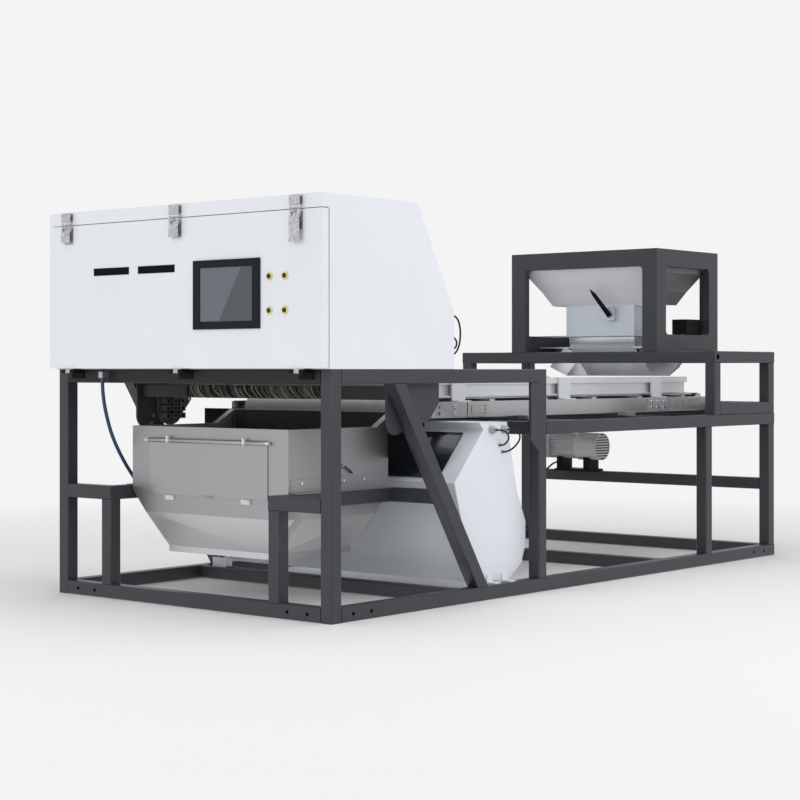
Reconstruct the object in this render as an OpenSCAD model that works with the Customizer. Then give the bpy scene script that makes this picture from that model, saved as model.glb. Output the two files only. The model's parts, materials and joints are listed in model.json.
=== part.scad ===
// Optical colour sorter with a belt conveyor, for grain, nuts and similar goods.
// Goods run from the feed hopper at the rear, over a vibrating chute, onto the belt,
// and past the cameras and air valves at the front into the discharge hopper.
// Millimetres, +Z up, +Y towards the feed hopper. All places below count Y from the
// front face of the base frame, and every node is moved back by mid_y at the end.

/* [Base frame] */
// Overall width of the frame
frame_w = 1640; // [1500:10:1800]
// Overall length of the frame
frame_l = 3562; // [3500:2:3700]
// Height of the front section, on which the cabinet stands
front_h = 1000; // [990:2:1040]
// Length of the front section
front_l = 1451; // [1430:1:1500]
// Height of the rear section, which carries the conveyor
rear_h = 765; // [758:1:766]
// Side of the square tubes
tube = 60; // [54:1:62]
// Wall of the square tubes
tube_wall = 4; // [3:0.5:6]
// Outer corner radius of the tubes
tube_r = 6; // [3:0.5:8]
// Distance from the rear end to the intermediate posts
rear_post_inset = 712; // [690:2:860]
// Place of the front cross rail on the floor
cross_front_y = 820; // [780:5:860]
// Place of the rear cross rail on the floor
cross_rear_y = 2460; // [2300:10:2600]
// Height of the rail that carries the motor
motor_rail_z = 355; // [330:5:380]

/* [Braces and gussets] */
// Centre of each brace at the underside of the top rail
brace_top_y = 420; // [400:5:440]
// Centre of each brace at the bottom rail
brace_foot_y = 978; // [940:2:1000]
// Plate thickness of the gussets at the mid posts
gusset_t = 12; // [6:1:20]
// Lowest point of the gussets
gusset_z = 631; // [600:1:660]
// Thickness of the hanging side plates
plate_t = 10; // [6:1:14]

/* [Floor fixing holes] */
// Radius of the fixing holes in the bottom rails
fix_r = 8; // [5:0.5:10]
// Distance from a corner to its first hole
fix_inset = 130; // [110:1:150]
// Distance from the rear end to the first hole there
fix_inset_rear = 111; // [100:1:150]
// Distance between the two holes of a pair
fix_pitch = 110; // [90:1:130]

/* [Hopper carrier] */
// Underside of the carrier rails for the discharge hopper
carrier_z = 430; // [415:5:450]
// Distance from the middle to the carrier rails
carrier_x = 475; // [474:1:490]
// Rear end of the carrier rails
carrier_rear_y = 760; // [740:2:770]

/* [Feed frame] */
// Length of the feed frame
feed_l = 625; // [610:1:640]
// Top of the feed frame
feed_h = 1093; // [1085:1:1110]
// Radius of the lifting holes
lift_r = 15; // [10:1:20]
// Width of the hopper frame on top
hop_w = 944; // [930:2:970]
// Top of the hopper frame
hop_h = 1636; // [1600:2:1680]
// Width of the plate bands
band = 91; // [80:1:100]
// Depth of the plate bands
band_t = 40; // [30:1:46]
// Corner radius of the windows
window_r = 22; // [10:1:30]

/* [Cabinet] */
// Top of the cabinet
cab_h = 1690; // [1660:2:1740]
// Length of the flat top, from the frame front
cab_top_y = 531; // [500:1:560]
// Rear wall of the cabinet
cab_back_y = 776; // [770:1:800]
// Height where the sloping back starts
cab_slope_z = 1242; // [1230:2:1280]
// Sheet thickness of the cabinet
cab_wall = 3; // [2:0.5:4]
// Depth of the door
door_t = 36; // [30:1:44]
// How far the cabinet body stands out before the frame
cab_lip = 16; // [12:1:20]
// Height of the fixed header over the door
header_h = 57; // [50:1:70]
// Running gap round the door
door_gap = 3; // [2:0.5:5]
// Distance from the middle to the outer latches and hinges
latch_x = 688; // [640:2:720]

/* [Door controls] */
// Width of the touch panel
bezel_w = 383; // [370:1:400]
// Height of the touch panel
bezel_h = 284; // [270:1:300]
// Width of the display
screen_w = 299; // [280:1:310]
// Height of the display
screen_h = 221; // [200:1:230]
// Distance from the right edge of the door to the middle of the touch panel
panel_inset = 527; // [515:1:540]
// Distance from the header down to the middle of the touch panel
panel_drop = 328; // [310:1:340]
// Radius of the push buttons
button_r = 10; // [8:0.5:12]
// Travel of the push buttons
button_travel = 3; // [2:0.5:4]

/* [Discharge hopper] */
// Width of the discharge hopper
dis_w = 940; // [900:2:944]
// Front of the discharge hopper
dis_y = 124; // [115:1:135]
// Rear of the discharge hopper
dis_rear_y = 757; // [745:1:760]
// Top edge of the discharge hopper
dis_h = 752; // [740:1:756]
// Sheet thickness of the discharge hopper
dis_wall = 3; // [2:0.5:4]
// Width of the inspection door
insp_w = 712; // [680:2:740]
// Height of the inspection door
insp_h = 229; // [210:1:240]
// Height of the hinge rod of the inspection door
rod_z = 693; // [685:1:700]
// Radius of the hinge rod
rod_r = 7; // [5:0.5:8]

/* [Conveyor] */
// Width of the belt
belt_w = 860; // [800:2:880]
// Thickness of the belt
belt_t = 3; // [2:0.5:4]
// Top of the belt
belt_z = 872; // [870:1:876]
// Radius of the end rollers
roller_r = 45; // [42:0.5:46]
// Front point of the belt
belt_front_y = 783; // [775:1:800]
// Distance from the rear end to the middle of the tail roller
tail_inset = 142; // [134:2:180]
// Distance between the outer faces of the side beams
beam_w = 1020; // [1010:2:1060]
// Height of the side beams
beam_h = 71; // [69:1:72]
// Radius of the roller shafts
shaft_r = 12; // [10:0.5:14]

/* [Lower optical box] */
// Width of the lower box
box_w = 1500; // [1440:5:1504]
// Top of the lower box
box_h = 766; // [750:1:768]
// Sheet thickness of the lower box
box_wall = 3; // [2:0.5:4]
// Rim of the window
window_rim = 110; // [90:1:130]

/* [Drive motor] */
// Radius of the motor
motor_r = 72; // [66:1:74]
// Radius of the fan cowl
cowl_r = 78; // [76:1:82]
// Cowl end of the motor
motor_end_x = -230; // [-260:2:-200]
// Length of the motor without its shaft
motor_l = 420; // [400:2:440]
// Height of the motor axis
motor_z = 557; // [540:1:570]
// Radius of the drive pulleys
pulley_r = 40; // [36:1:42]

/* [Hidden] */
$fn = 48;

// Clearances: running fits of shafts, seats between moving pieces, weld lines between tubes,
// and overcut of a cut
run_gap = 0.08;
weld = 0.05;
seat_gap = 0.3;
over = 1;

// Colours
c_frame = "#46484e";
c_white = "#e3e6ef";
c_steel = "#a4a4a6";
c_black = "#202226";
c_zinc = "#9a9aa2";
c_alu = "#b9bcc0";
c_brass = "#cdbf7a";
c_blue = "#3a4a70";

// Derived places of the frame
side_x = frame_w / 2;
in_x = side_x - tube;
mid_post_y = front_l - tube;
end_y = frame_l - tube;
door_face_y = -cab_lip - door_t;
latch_proud = 20;
mid_y = (frame_l + door_face_y - latch_proud) / 2;
rear_post_y = frame_l - rear_post_inset;
feed_y = frame_l - feed_l;
tail_y = frame_l - tail_inset;
conveyor_cross_y = [front_l + 249, frame_l - 1002];
header_z = cab_h - header_h;
panel_z = header_z - panel_drop;
panel_x = side_x - panel_inset;

// Square tube section drawn from its lower corner, with rounded outer corners
module tube_section() {
    difference() {
        rounded_square(tube, tube, tube_r);
        translate([tube_wall, tube_wall]) square(tube - 2 * tube_wall);
    }
}

module rounded_square(w, h, r) {
    translate([r, 0]) square([w - 2 * r, h]);
    translate([0, r]) square([w, h - 2 * r]);
    for (x = [r, w - r], y = [r, h - r]) translate([x, y]) circle(r, $fn = 32);
}

module cap_plate(t) {
    linear_extrude(t) rounded_square(tube, tube, tube_r);
}

// Tubes along each axis, from their lower corner, with a welded cap at an open end
module tube_up(x, y, z0, z1, cap_low = false) {
    start = cap_low ? z0 : z0 + weld;
    translate([x, y, start]) {
        linear_extrude(z1 - weld - start) tube_section();
        if (cap_low) cap_plate(tube_wall);
    }
}

module tube_along_y(x, z, y0, y1, cap_far = false, cap_near = false) {
    near = cap_near ? y0 : y0 + weld;
    far = cap_far ? y1 : y1 - weld;
    translate([x, far, z]) rotate([90, 0, 0]) {
        linear_extrude(far - near) tube_section();
        if (cap_far) cap_plate(tube_wall);
        if (cap_near) translate([0, 0, far - near - tube_wall]) cap_plate(tube_wall);
    }
}

module tube_along_x(y, z, x0, x1, cap_low = false) {
    start = cap_low ? x0 : x0 + weld;
    translate([start, y, z]) rotate([90, 0, 90]) {
        linear_extrude(x1 - weld - start) tube_section();
        if (cap_low) cap_plate(tube_wall);
    }
}

module both_sides() {
    children();
    mirror([1, 0, 0]) children();
}

// Box between two corners
module block(low, high) {
    translate(low) cube(high - low);
}

// Outline in the (Y, Z) plane made a slab from x0 to x1
module slab_x(x0, x1) {
    translate([x0, 0, 0]) rotate([90, 0, 90]) linear_extrude(x1 - x0) children();
}

// Outline in the (X, Z) plane made a slab from y0 to y1
module slab_y(y0, y1) {
    translate([0, y1, 0]) rotate([90, 0, 0]) linear_extrude(y1 - y0) children();
}

// Round bar along X, Y or Z from a start point
module bar_x(from, l, r) {
    translate(from) rotate([0, 90, 0]) cylinder(r = r, h = l);
}

module bar_y(from, l, r) {
    translate(from) rotate([-90, 0, 0]) cylinder(r = r, h = l);
}

module bar_z(from, l, r) {
    translate(from) cylinder(r = r, h = l);
}

// Six-sided solid with a lower and an upper ring of four points
module six_sided(low, high) {
    polyhedron(concat(low, high), [[0, 1, 2, 3], [7, 6, 5, 4], [4, 5, 1, 0], [5, 6, 2, 1],
        [6, 7, 3, 2], [7, 4, 0, 3]]);
}

// Base frame: posts, braces and gussets
brace_run = (brace_foot_y - brace_top_y) / (front_h - 2 * tube);
brace_w = tube * sqrt(1 + brace_run * brace_run);
brace_skin = tube_wall * sqrt(1 + brace_run * brace_run);

module brace_outline(skin) {
    polygon([[brace_top_y - brace_w / 2 + skin, front_h - tube - weld], [brace_top_y + brace_w / 2 - skin, front_h - tube - weld],
        [brace_foot_y + brace_w / 2 - skin, tube + weld], [brace_foot_y - brace_w / 2 + skin, tube + weld]]);
}

module brace() {
    difference() {
        slab_x(in_x, side_x) brace_outline(0);
        slab_x(in_x + tube_wall, side_x - tube_wall) brace_outline(brace_skin);
    }
}

module gusset() {
    slab_x(side_x - gusset_t, side_x) polygon([[mid_post_y - tube, front_h - tube - weld],
        [mid_post_y - weld, front_h - tube - weld], [mid_post_y - weld, gusset_z], [mid_post_y - tube, gusset_z + tube]]);
}

module frame_posts() {
    color(c_frame) both_sides() {
        tube_up(in_x, 0, 0, front_h, cap_low = true);
        tube_up(in_x, mid_post_y, tube, front_h);
        tube_up(in_x, rear_post_y, tube, rear_h - tube);
        tube_up(in_x, end_y, tube, rear_h - tube);
        brace();
        gusset();
    }
}

// Rails on the floor, with pairs of fixing holes in their outer walls
front_fix_x = [side_x - fix_inset, side_x - fix_inset - fix_pitch];
side_fix_y = [fix_inset, fix_inset + fix_pitch, frame_l - fix_inset_rear, frame_l - fix_inset_rear - fix_pitch];

module bottom_rails() {
    color(c_frame) {
        difference() {
            tube_along_x(0, 0, -in_x, in_x);
            both_sides() for (x = front_fix_x) bar_y([x, -over, tube / 2], tube_wall + 2 * over, fix_r);
        }
        both_sides() difference() {
            tube_along_y(in_x, 0, tube, frame_l, cap_far = true);
            for (y = side_fix_y) bar_x([side_x - tube_wall - over, y, tube / 2], tube_wall + 2 * over, fix_r);
        }
        for (y = [cross_front_y, cross_rear_y, end_y]) tube_along_x(y, 0, -in_x, in_x);
    }
}

module top_rails() {
    color(c_frame) {
        tube_along_x(0, front_h - tube, -in_x, in_x);
        both_sides() {
            tube_along_y(in_x, front_h - tube, tube, mid_post_y);
            tube_along_y(in_x, rear_h - tube, front_l, frame_l, cap_far = true);
        }
        for (y = concat([mid_post_y, end_y], conveyor_cross_y)) tube_along_x(y, rear_h - tube, -in_x, in_x);
        tube_along_x(end_y, motor_rail_z, -in_x, in_x);
    }
}

// Carrier for the discharge hopper
carrier_top = carrier_z + tube;

module hopper_carrier() {
    color(c_frame) both_sides() {
        tube_along_x(0, carrier_z, carrier_x, in_x, cap_low = true);
        tube_up(carrier_x, 0, tube, carrier_z);
        tube_along_y(carrier_x, carrier_z, tube, carrier_rear_y - tube);
        tube_along_x(carrier_rear_y - tube, carrier_z, carrier_x, in_x, cap_low = true);
    }
}

// Feed frame over the tail of the conveyor
module feed_frame() {
    color(c_frame) {
        both_sides() {
            for (y = [feed_y, end_y]) tube_up(in_x, y, rear_h, feed_h - tube);
            difference() {
                tube_along_y(in_x, feed_h - tube, feed_y, frame_l, cap_far = true, cap_near = true);
                bar_x([side_x - tube_wall - over, feed_y + tube / 2, feed_h - tube / 2], tube_wall + 2 * over, lift_r);
            }
            tube_along_y(in_x, rear_h, feed_y + tube, end_y);
        }
        for (y = [feed_y, end_y]) tube_along_x(y, feed_h - tube, -in_x, in_x);
        tube_along_x(end_y, rear_h, -in_x, in_x);
    }
}

// Plate bands round the windows of the hopper frame, drawn from the lower corner of a wall
module corner_fillet(x, y, sx, sy) {
    translate([x, y]) difference() {
        translate([min(0, sx * window_r), min(0, sy * window_r)]) square(window_r);
        translate([sx * window_r, sy * window_r]) circle(window_r, $fn = 32);
    }
}

module upright(x0, x1, z0, z1, inner, sx, low) {
    translate([x0, z0 + weld]) square([x1 - x0, z1 - z0 - 2 * weld]);
    corner_fillet(inner, z1 - weld, sx, -1);
    if (low) corner_fillet(inner, z0 + weld, sx, 1);
}

hop_x = hop_w / 2;
window_top = hop_h - band;
window_low = feed_h + band;

module end_wall(y0, low) {
    both_sides() slab_y(y0, y0 + band_t)
        upright(hop_x - band, hop_x, low ? window_low : feed_h, window_top, hop_x - band, -1, low);
    slab_y(y0, y0 + band_t) translate([-hop_x, window_top]) square([hop_w, band]);
    if (low) slab_y(y0, y0 + band_t) translate([-hop_x, feed_h]) square([hop_w, band]);
}

module side_wall() {
    slab_x(hop_x - band_t, hop_x) {
        upright(feed_y + band_t + weld, feed_y + band, window_low, window_top, feed_y + band, 1, true);
    }
    slab_x(hop_x - band_t, hop_x)
        upright(frame_l - band, frame_l - band_t - weld, window_low, window_top, frame_l - band, -1, true);
    for (z = [feed_h, window_top]) slab_x(hop_x - band_t, hop_x)
        translate([feed_y + band_t + weld, z]) square([frame_l - feed_y - 2 * band_t - 2 * weld, band]);
}

module hopper_frame() {
    color(c_frame) {
        end_wall(feed_y, false);
        end_wall(frame_l - band_t, true);
        both_sides() side_wall();
    }
}

// Plates that hang from the top rails and carry the valve bank
lobe_y = 462;
lobe_r = 57;
lobe_z = front_h - 215;
plate_rear_y = 747;
plate_x = in_x - plate_t;

module side_plate_outline() {
    polygon([[lobe_y - 132, front_h], [lobe_y - lobe_r, front_h - 70], [lobe_y - lobe_r, lobe_z],
        [lobe_y, lobe_z - lobe_r], [plate_rear_y - 64, lobe_z], [plate_rear_y, lobe_z + 70], [plate_rear_y, front_h]]);
    translate([lobe_y, lobe_z]) circle(lobe_r);
}

module side_plates() {
    color(c_frame) both_sides() slab_x(plate_x, in_x) side_plate_outline();
}

// Cabinet: a sheet shell with a sloping back, open at the front and over the goods
slope_run = (cab_back_y - cab_top_y) / (cab_h - cab_slope_z);
slope_skin = cab_wall * sqrt(1 + slope_run * slope_run);
function slope_in_y(z) = cab_top_y + (cab_h - z) * slope_run - slope_skin;
slope_in_z = cab_h - (cab_back_y - cab_wall - cab_top_y + slope_skin) / slope_run;
cab_in_x = side_x - cab_wall;
slot_x = 620;
slot_y = [480, 740];

module cabinet_outside() {
    polygon([[door_face_y, cab_h], [cab_top_y, cab_h], [cab_back_y, cab_slope_z], [cab_back_y, front_h],
        [-cab_lip, front_h], [-cab_lip, header_z], [door_face_y, header_z]]);
}

module cabinet_inside() {
    polygon([[door_face_y + cab_wall, cab_h - cab_wall], [slope_in_y(cab_h - cab_wall), cab_h - cab_wall],
        [cab_back_y - cab_wall, slope_in_z], [cab_back_y - cab_wall, front_h + cab_wall],
        [-cab_lip - over, front_h + cab_wall], [-cab_lip - over, header_z], [-cab_lip + cab_wall, header_z],
        [-cab_lip + cab_wall, header_z + cab_wall], [door_face_y + cab_wall, header_z + cab_wall]]);
}

module cabinet_shell() {
    color(c_white) difference() {
        slab_x(-side_x, side_x) cabinet_outside();
        slab_x(-cab_in_x, cab_in_x) cabinet_inside();
        block([-slot_x, slot_y[0], front_h - over], [slot_x, slot_y[1], front_h + cab_wall + over]);
    }
}

// Door hinges: brackets on the front beam, each with a fixed pin
hinge_y = door_face_y - 4;
hinge_z = front_h - 11;
pin_r = 4;
knuckle_r = 7;
knuckle_l = 28;
hinge_l = 76;
hinge_xs = [-latch_x, 0, latch_x];

module hinge_bracket(x) {
    block([x - hinge_l / 2, -6, hinge_z - 30], [x + hinge_l / 2, 0, hinge_z + 7]);
    for (s = [-1, 1]) {
        translate([x + s * (hinge_l / 4 + knuckle_l / 4), 0, 0]) {
            block([-(hinge_l - knuckle_l) / 4 + 0.5, hinge_y, hinge_z - 5], [(hinge_l - knuckle_l) / 4 - 0.5, -6, hinge_z + 5]);
            bar_x([-(hinge_l - knuckle_l) / 4 + 0.5, hinge_y, hinge_z], (hinge_l - knuckle_l) / 2 - 1, knuckle_r);
        }
    }
    bar_x([x - hinge_l / 2 - 4, hinge_y, hinge_z], hinge_l + 8, pin_r);
}

module door_hinges() {
    color(c_black) for (x = hinge_xs) hinge_bracket(x);
}

// Keepers on the header for the draw latches
latch_w = 56;
keeper_z = header_z + 16;
keeper_h = 34;
hook_y = door_face_y - 12;

module latch_keepers() {
    color(c_zinc) for (x = hinge_xs) {
        block([x - latch_w / 2, door_face_y - 3, keeper_z], [x + latch_w / 2, door_face_y, keeper_z + keeper_h]);
        block([x - latch_w / 4, hook_y, keeper_z + keeper_h - 12], [x + latch_w / 4, door_face_y - 3, keeper_z + keeper_h - 7]);
    }
}

// Inside the cabinet
cam_bar_y = 300;
cam_bar_z = cab_h - 290;
cam_bar = 40;
cam_xs = [-480, -160, 160, 480];
cam_w = 64;
cam_h = 110;
lens_r = 22;

module camera_bar() {
    color(c_alu) difference() {
        block([-cab_in_x, cam_bar_y, cam_bar_z], [cab_in_x, cam_bar_y + cam_bar, cam_bar_z + cam_bar]);
        for (s = [0, 1]) block([-cab_in_x - over, cam_bar_y - over + s * (cam_bar - 5), cam_bar_z + cam_bar / 2 - 4],
            [cab_in_x + over, cam_bar_y + 6 - over + s * (cam_bar - 4), cam_bar_z + cam_bar / 2 + 4]);
    }
}

module cameras() {
    color(c_black) for (x = cam_xs) translate([x, cam_bar_y + cam_bar / 2, cam_bar_z]) {
        block([-cam_w / 2, -cam_w / 2, -cam_h], [cam_w / 2, cam_w / 2, 0]);
        bar_z([0, 0, -cam_h - 40], 40, lens_r);
        bar_z([0, 0, -cam_h - 48], 10, lens_r + 3);
    }
}

lamp_y = [400, 690];
lamp_z = front_h + 60;
lamp_r = 24;

module lamp_bars() {
    color(c_alu) for (y = lamp_y) {
        bar_x([-cab_in_x + 6, y, lamp_z], 2 * cab_in_x - 12, lamp_r);
        for (s = [-1, 1]) block([s * (cab_in_x - 3) - 3, y - 30, lamp_z - 30], [s * (cab_in_x - 3) + 3, y + 30, lamp_z + 30]);
    }
}

unit_d = 70;
unit_z = front_h + 120;
unit_h = 102;
unit_ws = [380, 240, 360];
unit_xs = [180, -120, -560];
back_in_y = cab_back_y - cab_wall;

module control_units() {
    color(c_zinc) for (i = [0 : len(unit_ws) - 1]) translate([unit_xs[i], back_in_y - unit_d, unit_z])
        cube([unit_ws[i], unit_d, unit_h]);
}

// Valve bank and nozzle bar between the side plates
valve_n = 24;
valve_pitch = 37;
valve_y = 430;
manifold_d = 60;
manifold_z = front_h - 128;
manifold_h = 58;
valve_d = 32;

module valve_bank() {
    color(c_alu) {
        block([-plate_x, valve_y, manifold_z], [plate_x, valve_y + manifold_d, manifold_z + manifold_h]);
        for (i = [0 : valve_n - 1]) translate([(i - (valve_n - 1) / 2) * valve_pitch, 0, 0])
            block([-13, valve_y - valve_d, manifold_z + 6], [13, valve_y + over, manifold_z + manifold_h - 6]);
    }
}

nozzle_y = 600;
nozzle_d = 40;
nozzle_z = front_h - 100;
nozzle_n = 32;

module nozzle_bar() {
    color(c_alu) difference() {
        slab_x(-plate_x, plate_x) polygon([[nozzle_y, nozzle_z + nozzle_d], [nozzle_y, nozzle_z + 14],
            [nozzle_y + 14, nozzle_z], [nozzle_y + nozzle_d, nozzle_z], [nozzle_y + nozzle_d, nozzle_z + nozzle_d]]);
        for (i = [0 : nozzle_n - 1]) bar_z([(i - (nozzle_n - 1) / 2) * belt_w / nozzle_n, nozzle_y + nozzle_d / 2 + 6, nozzle_z - over], 12, 3);
    }
}

// Cable carrier on the far side plate: a looped chain of ribbed links
carrier_loop_y = 604;
loop_r = 78;
loop_z = front_h - 182;
link_w = 34;

module cable_carrier() {
    color(c_black) translate([-plate_x, 0, 0]) {
        slab_x(0, 12) {
            translate([carrier_loop_y, loop_z]) circle(loop_r);
            translate([carrier_loop_y - loop_r, loop_z]) square([2 * loop_r, loop_r]);
        }
        for (i = [-1, 0, 1], j = [0 : 3]) slab_x(10, 12 + link_w)
            translate([carrier_loop_y + i * 46 - 17, loop_z - 48 + j * 34]) square([34, 26]);
    }
}

// Discharge hopper: a sheet form with chamfered lower corners, open above and below
dis_x = dis_w / 2;
dis_top = dis_h + 64;
bend_z = 378;
collar_z = 231;
outlet_z = 205;
outlet_x = 330;
outlet_y = [184, 698];
chamfer_z = 470;
rise_y = [644, dis_rear_y - 4];
insp_z = rod_z - 6 - insp_h;
insp_margin = 26;
dis_levels = [[outlet_z, outlet_x, outlet_y[0], outlet_y[1], 30], [collar_z, outlet_x, outlet_y[0], outlet_y[1], 30],
    [bend_z, dis_x, dis_y, dis_rear_y, 85], [chamfer_z, dis_x, dis_y, dis_rear_y, 1], [dis_top, dis_x, dis_y, dis_rear_y, 1]];

function level_ring(l, t, dz) = let (x = l[1] - t, y0 = l[2] + t, y1 = l[3] - t, c = max(l[4] - 0.6 * t, 0.5), z = l[0] + dz)
    [[-x + c, y0, z], [x - c, y0, z], [x, y0 + c, z], [x, y1 - c, z], [x - c, y1, z], [-x + c, y1, z], [-x, y1 - c, z], [-x, y0 + c, z]];

module hopper_form(t, out) {
    last = len(dis_levels) - 1;
    rings = [for (i = [0 : last]) level_ring(dis_levels[i], t, i == 0 ? -out : i == last ? out : 0)];
    sides = [for (i = [0 : last - 1], k = [0 : 7]) let (a = 8 * i + k, b = 8 * i + (k + 1) % 8)
        each [[a, a + 8, b + 8], [a, b + 8, b]]];
    ends = [[0, 1, 2, 3, 4, 5, 6, 7], [for (k = [7 : -1 : 0]) 8 * last + k]];
    polyhedron([for (r = rings, p = r) p], concat(sides, ends));
}

module rise_strip() {
    polygon([[rise_y[0], dis_h], [rise_y[1], dis_top - 2], [rise_y[1], dis_top - 6], [rise_y[0], dis_h - 4]]);
}

flange_w = 30;

module discharge_hopper() {
    color(c_steel) {
        difference() {
            hopper_form(0, 0);
            hopper_form(dis_wall, over);
            slab_x(-dis_x - over, dis_x + over) polygon([[0, dis_top + 2 * over], [0, dis_h], [rise_y[0], dis_h],
                [rise_y[1], dis_top - 2], [rise_y[1], dis_top + 2 * over]]);
            block([-insp_w / 2 + insp_margin, dis_y - over, insp_z + insp_margin],
                [insp_w / 2 - insp_margin, dis_y + dis_wall + over, rod_z - insp_margin]);
        }
        both_sides() {
            slab_x(dis_x, dis_x + flange_w) rise_strip();
            block([dis_x, dis_y + 16, carrier_top], [carrier_x + tube - 8, dis_rear_y - 30, carrier_top + dis_wall]);
            block([dis_x, dis_y + 16, carrier_top + dis_wall], [dis_x + dis_wall, dis_rear_y - 30, carrier_top + 55]);
        }
    }
}

// Dark plate behind the hopper that keeps stray goods from the optics
guard_t = 4;
guard_w = 1340;
guard_h = 200;

module guard_plate() {
    color(c_black) block([-guard_w / 2, dis_rear_y, dis_top - guard_h], [guard_w / 2, dis_rear_y + guard_t, dis_top]);
}

// Hinge rod of the inspection door with its clips, and the spring clips below the door
rod_y = dis_y - rod_r - 5;
rod_l = insp_w + 34;
clip_x = 230;
clip_w = 12;
clip_wall = 1.5;

module hinge_rod() {
    color(c_alu) {
        bar_x([-rod_l / 2, rod_y, rod_z], rod_l, rod_r);
        for (x = [-clip_x, clip_x]) difference() {
            block([x - clip_w / 2, rod_y - rod_r - clip_wall, rod_z - rod_r - clip_wall], [x + clip_w / 2, dis_y, rod_z + rod_r + 12]);
            bar_x([x - clip_w, rod_y, rod_z], 2 * clip_w, rod_r);
        }
        for (x = [-clip_x, clip_x]) {
            block([x - 26, dis_y - 5, insp_z - 22], [x + 26, dis_y, insp_z - 2]);
            block([x - 22, dis_y - 12, insp_z - 10], [x + 22, dis_y - 5, insp_z - 5]);
        }
    }
}

// Inspection door: a sheet with folded edges that hangs on the hinge rod
insp_t = 4;
insp_y = dis_y - seat_gap - insp_t;
door_knuckle_r = rod_r + 2.6;
knuckle_spans = [[-insp_w / 2 + 4, -clip_x - clip_w], [-clip_x + clip_w, clip_x - clip_w], [clip_x + clip_w, insp_w / 2 - 4]];

module inspection_door() {
    color(c_steel) difference() {
        union() {
            block([-insp_w / 2, insp_y, insp_z], [insp_w / 2, insp_y + insp_t, rod_z - door_knuckle_r]);
            for (s = knuckle_spans) {
                bar_x([s[0], rod_y, rod_z], s[1] - s[0], door_knuckle_r);
                block([s[0], insp_y, rod_z - door_knuckle_r - over], [s[1], insp_y + insp_t - 1, rod_z]);
            }
            block([-30, insp_y - 14, insp_z], [30, insp_y, insp_z + 3]);
        }
        bar_x([-insp_w, rod_y, rod_z], 2 * insp_w, rod_r + run_gap);
    }
}

// Lower optical box: a sheet housing with a sloping window towards the goods
box_x = box_w / 2;
box_low = [front_l - 451, tube + 10];
box_nose = [front_l - 586, 509];
box_top_y = [front_l - 379, front_l - 208];
box_lip_z = box_h - 31;
box_back = [[front_l - 129, 446], [front_l - 67, 318], [front_l - 67, 215], [front_l - 98, 130], [front_l - 190, tube + 6]];
box_feet_y = [front_l - 361, front_l - 251];
box_foot = 40;

module box_outline() {
    polygon(concat([box_low, box_nose, [box_top_y[0], box_lip_z], [box_top_y[0] - 29, box_h], [box_top_y[1], box_h]], box_back));
}

window_dir = [box_top_y[0] - box_nose[0], box_lip_z - box_nose[1]];
window_len = norm(window_dir);
window_tilt = atan2(window_dir[1], window_dir[0]);
glass_t = 6;
glass_edge = 36;

// Frame on the sloping face: local X along the width, local Y up the slope, local Z outwards
module on_window() {
    translate([0, box_nose[0], box_nose[1]]) rotate([window_tilt, 0, 0]) children();
}

module lower_box() {
    color(c_white) {
        difference() {
            slab_x(-box_x, box_x) box_outline();
            slab_x(-box_x + box_wall, box_x - box_wall) offset(delta = -box_wall) box_outline();
            on_window() block([-box_x + window_rim, glass_edge, -box_wall - 2 * over],
                [box_x - window_rim, window_len - glass_edge, over]);
        }
        both_sides() for (y = box_feet_y) {
            block([box_x, y, tube], [in_x + box_foot, y + box_foot, tube + 6]);
            block([box_x, y, tube + 6], [box_x + 6, y + box_foot, tube + box_foot]);
        }
    }
}

module window_glass() {
    color("#2b3036") on_window() block([-box_x + window_rim - 12, glass_edge - 12, 0],
        [box_x - window_rim + 12, window_len - glass_edge + 12, glass_t]);
}

// Conveyor: folded side beams on feet, with the bed, belt and skirts between them
beam_x = beam_w / 2;
beam_z = belt_z - 90;
beam_top = beam_z + beam_h;
beam_t = 4;
beam_flange = 32;
beam_y = [belt_front_y + 8, tail_y + 66];
roller_z = belt_z - belt_t - roller_r;
head_y = belt_front_y + belt_t + roller_r;
foot_w = 70;

module beam_section() {
    difference() {
        square([beam_flange, beam_h]);
        translate([-over, beam_t]) square([beam_flange - beam_t + over, beam_h - 2 * beam_t]);
    }
}

module conveyor_beams() {
    color(c_steel) both_sides() {
        difference() {
            translate([beam_x - beam_flange, beam_y[1], beam_z]) rotate([90, 0, 0])
                linear_extrude(beam_y[1] - beam_y[0]) beam_section();
            for (y = [head_y, tail_y]) bar_x([beam_x - beam_t - over, y, roller_z], beam_t + 2 * over, shaft_r + 6);
        }
        for (y = conveyor_cross_y) block([beam_x - beam_flange, y - (foot_w - tube) / 2, rear_h],
            [beam_x + 30, y + (foot_w + tube) / 2, beam_z - weld]);
    }
}

// Bearing, splice and take-up plates on the outer faces of the beams
plate_h = beam_h - 6;
bearing_t = 12;

module plate_on_beam(y0, y1, t) {
    block([beam_x, y0, beam_z + 3], [beam_x + t, y1, beam_z + 3 + plate_h]);
}

splice_y = [belt_front_y + 217, belt_front_y + 473];
drilled_y = [belt_front_y + 481, belt_front_y + 637];
rear_splice_y = [tail_y - 639, tail_y - 460];
take_up_y = [tail_y - 420, tail_y + 60];
splice_t = 5;
drilled_t = 6;
rear_splice_t = 8;
take_up_pitch = 70;

module bearing_plate(y0, y1, axle_y) {
    difference() {
        plate_on_beam(y0, y1, bearing_t);
        bar_x([beam_x - over, axle_y, roller_z], bearing_t + 2 * over, shaft_r + run_gap);
        children();
    }
}

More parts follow.
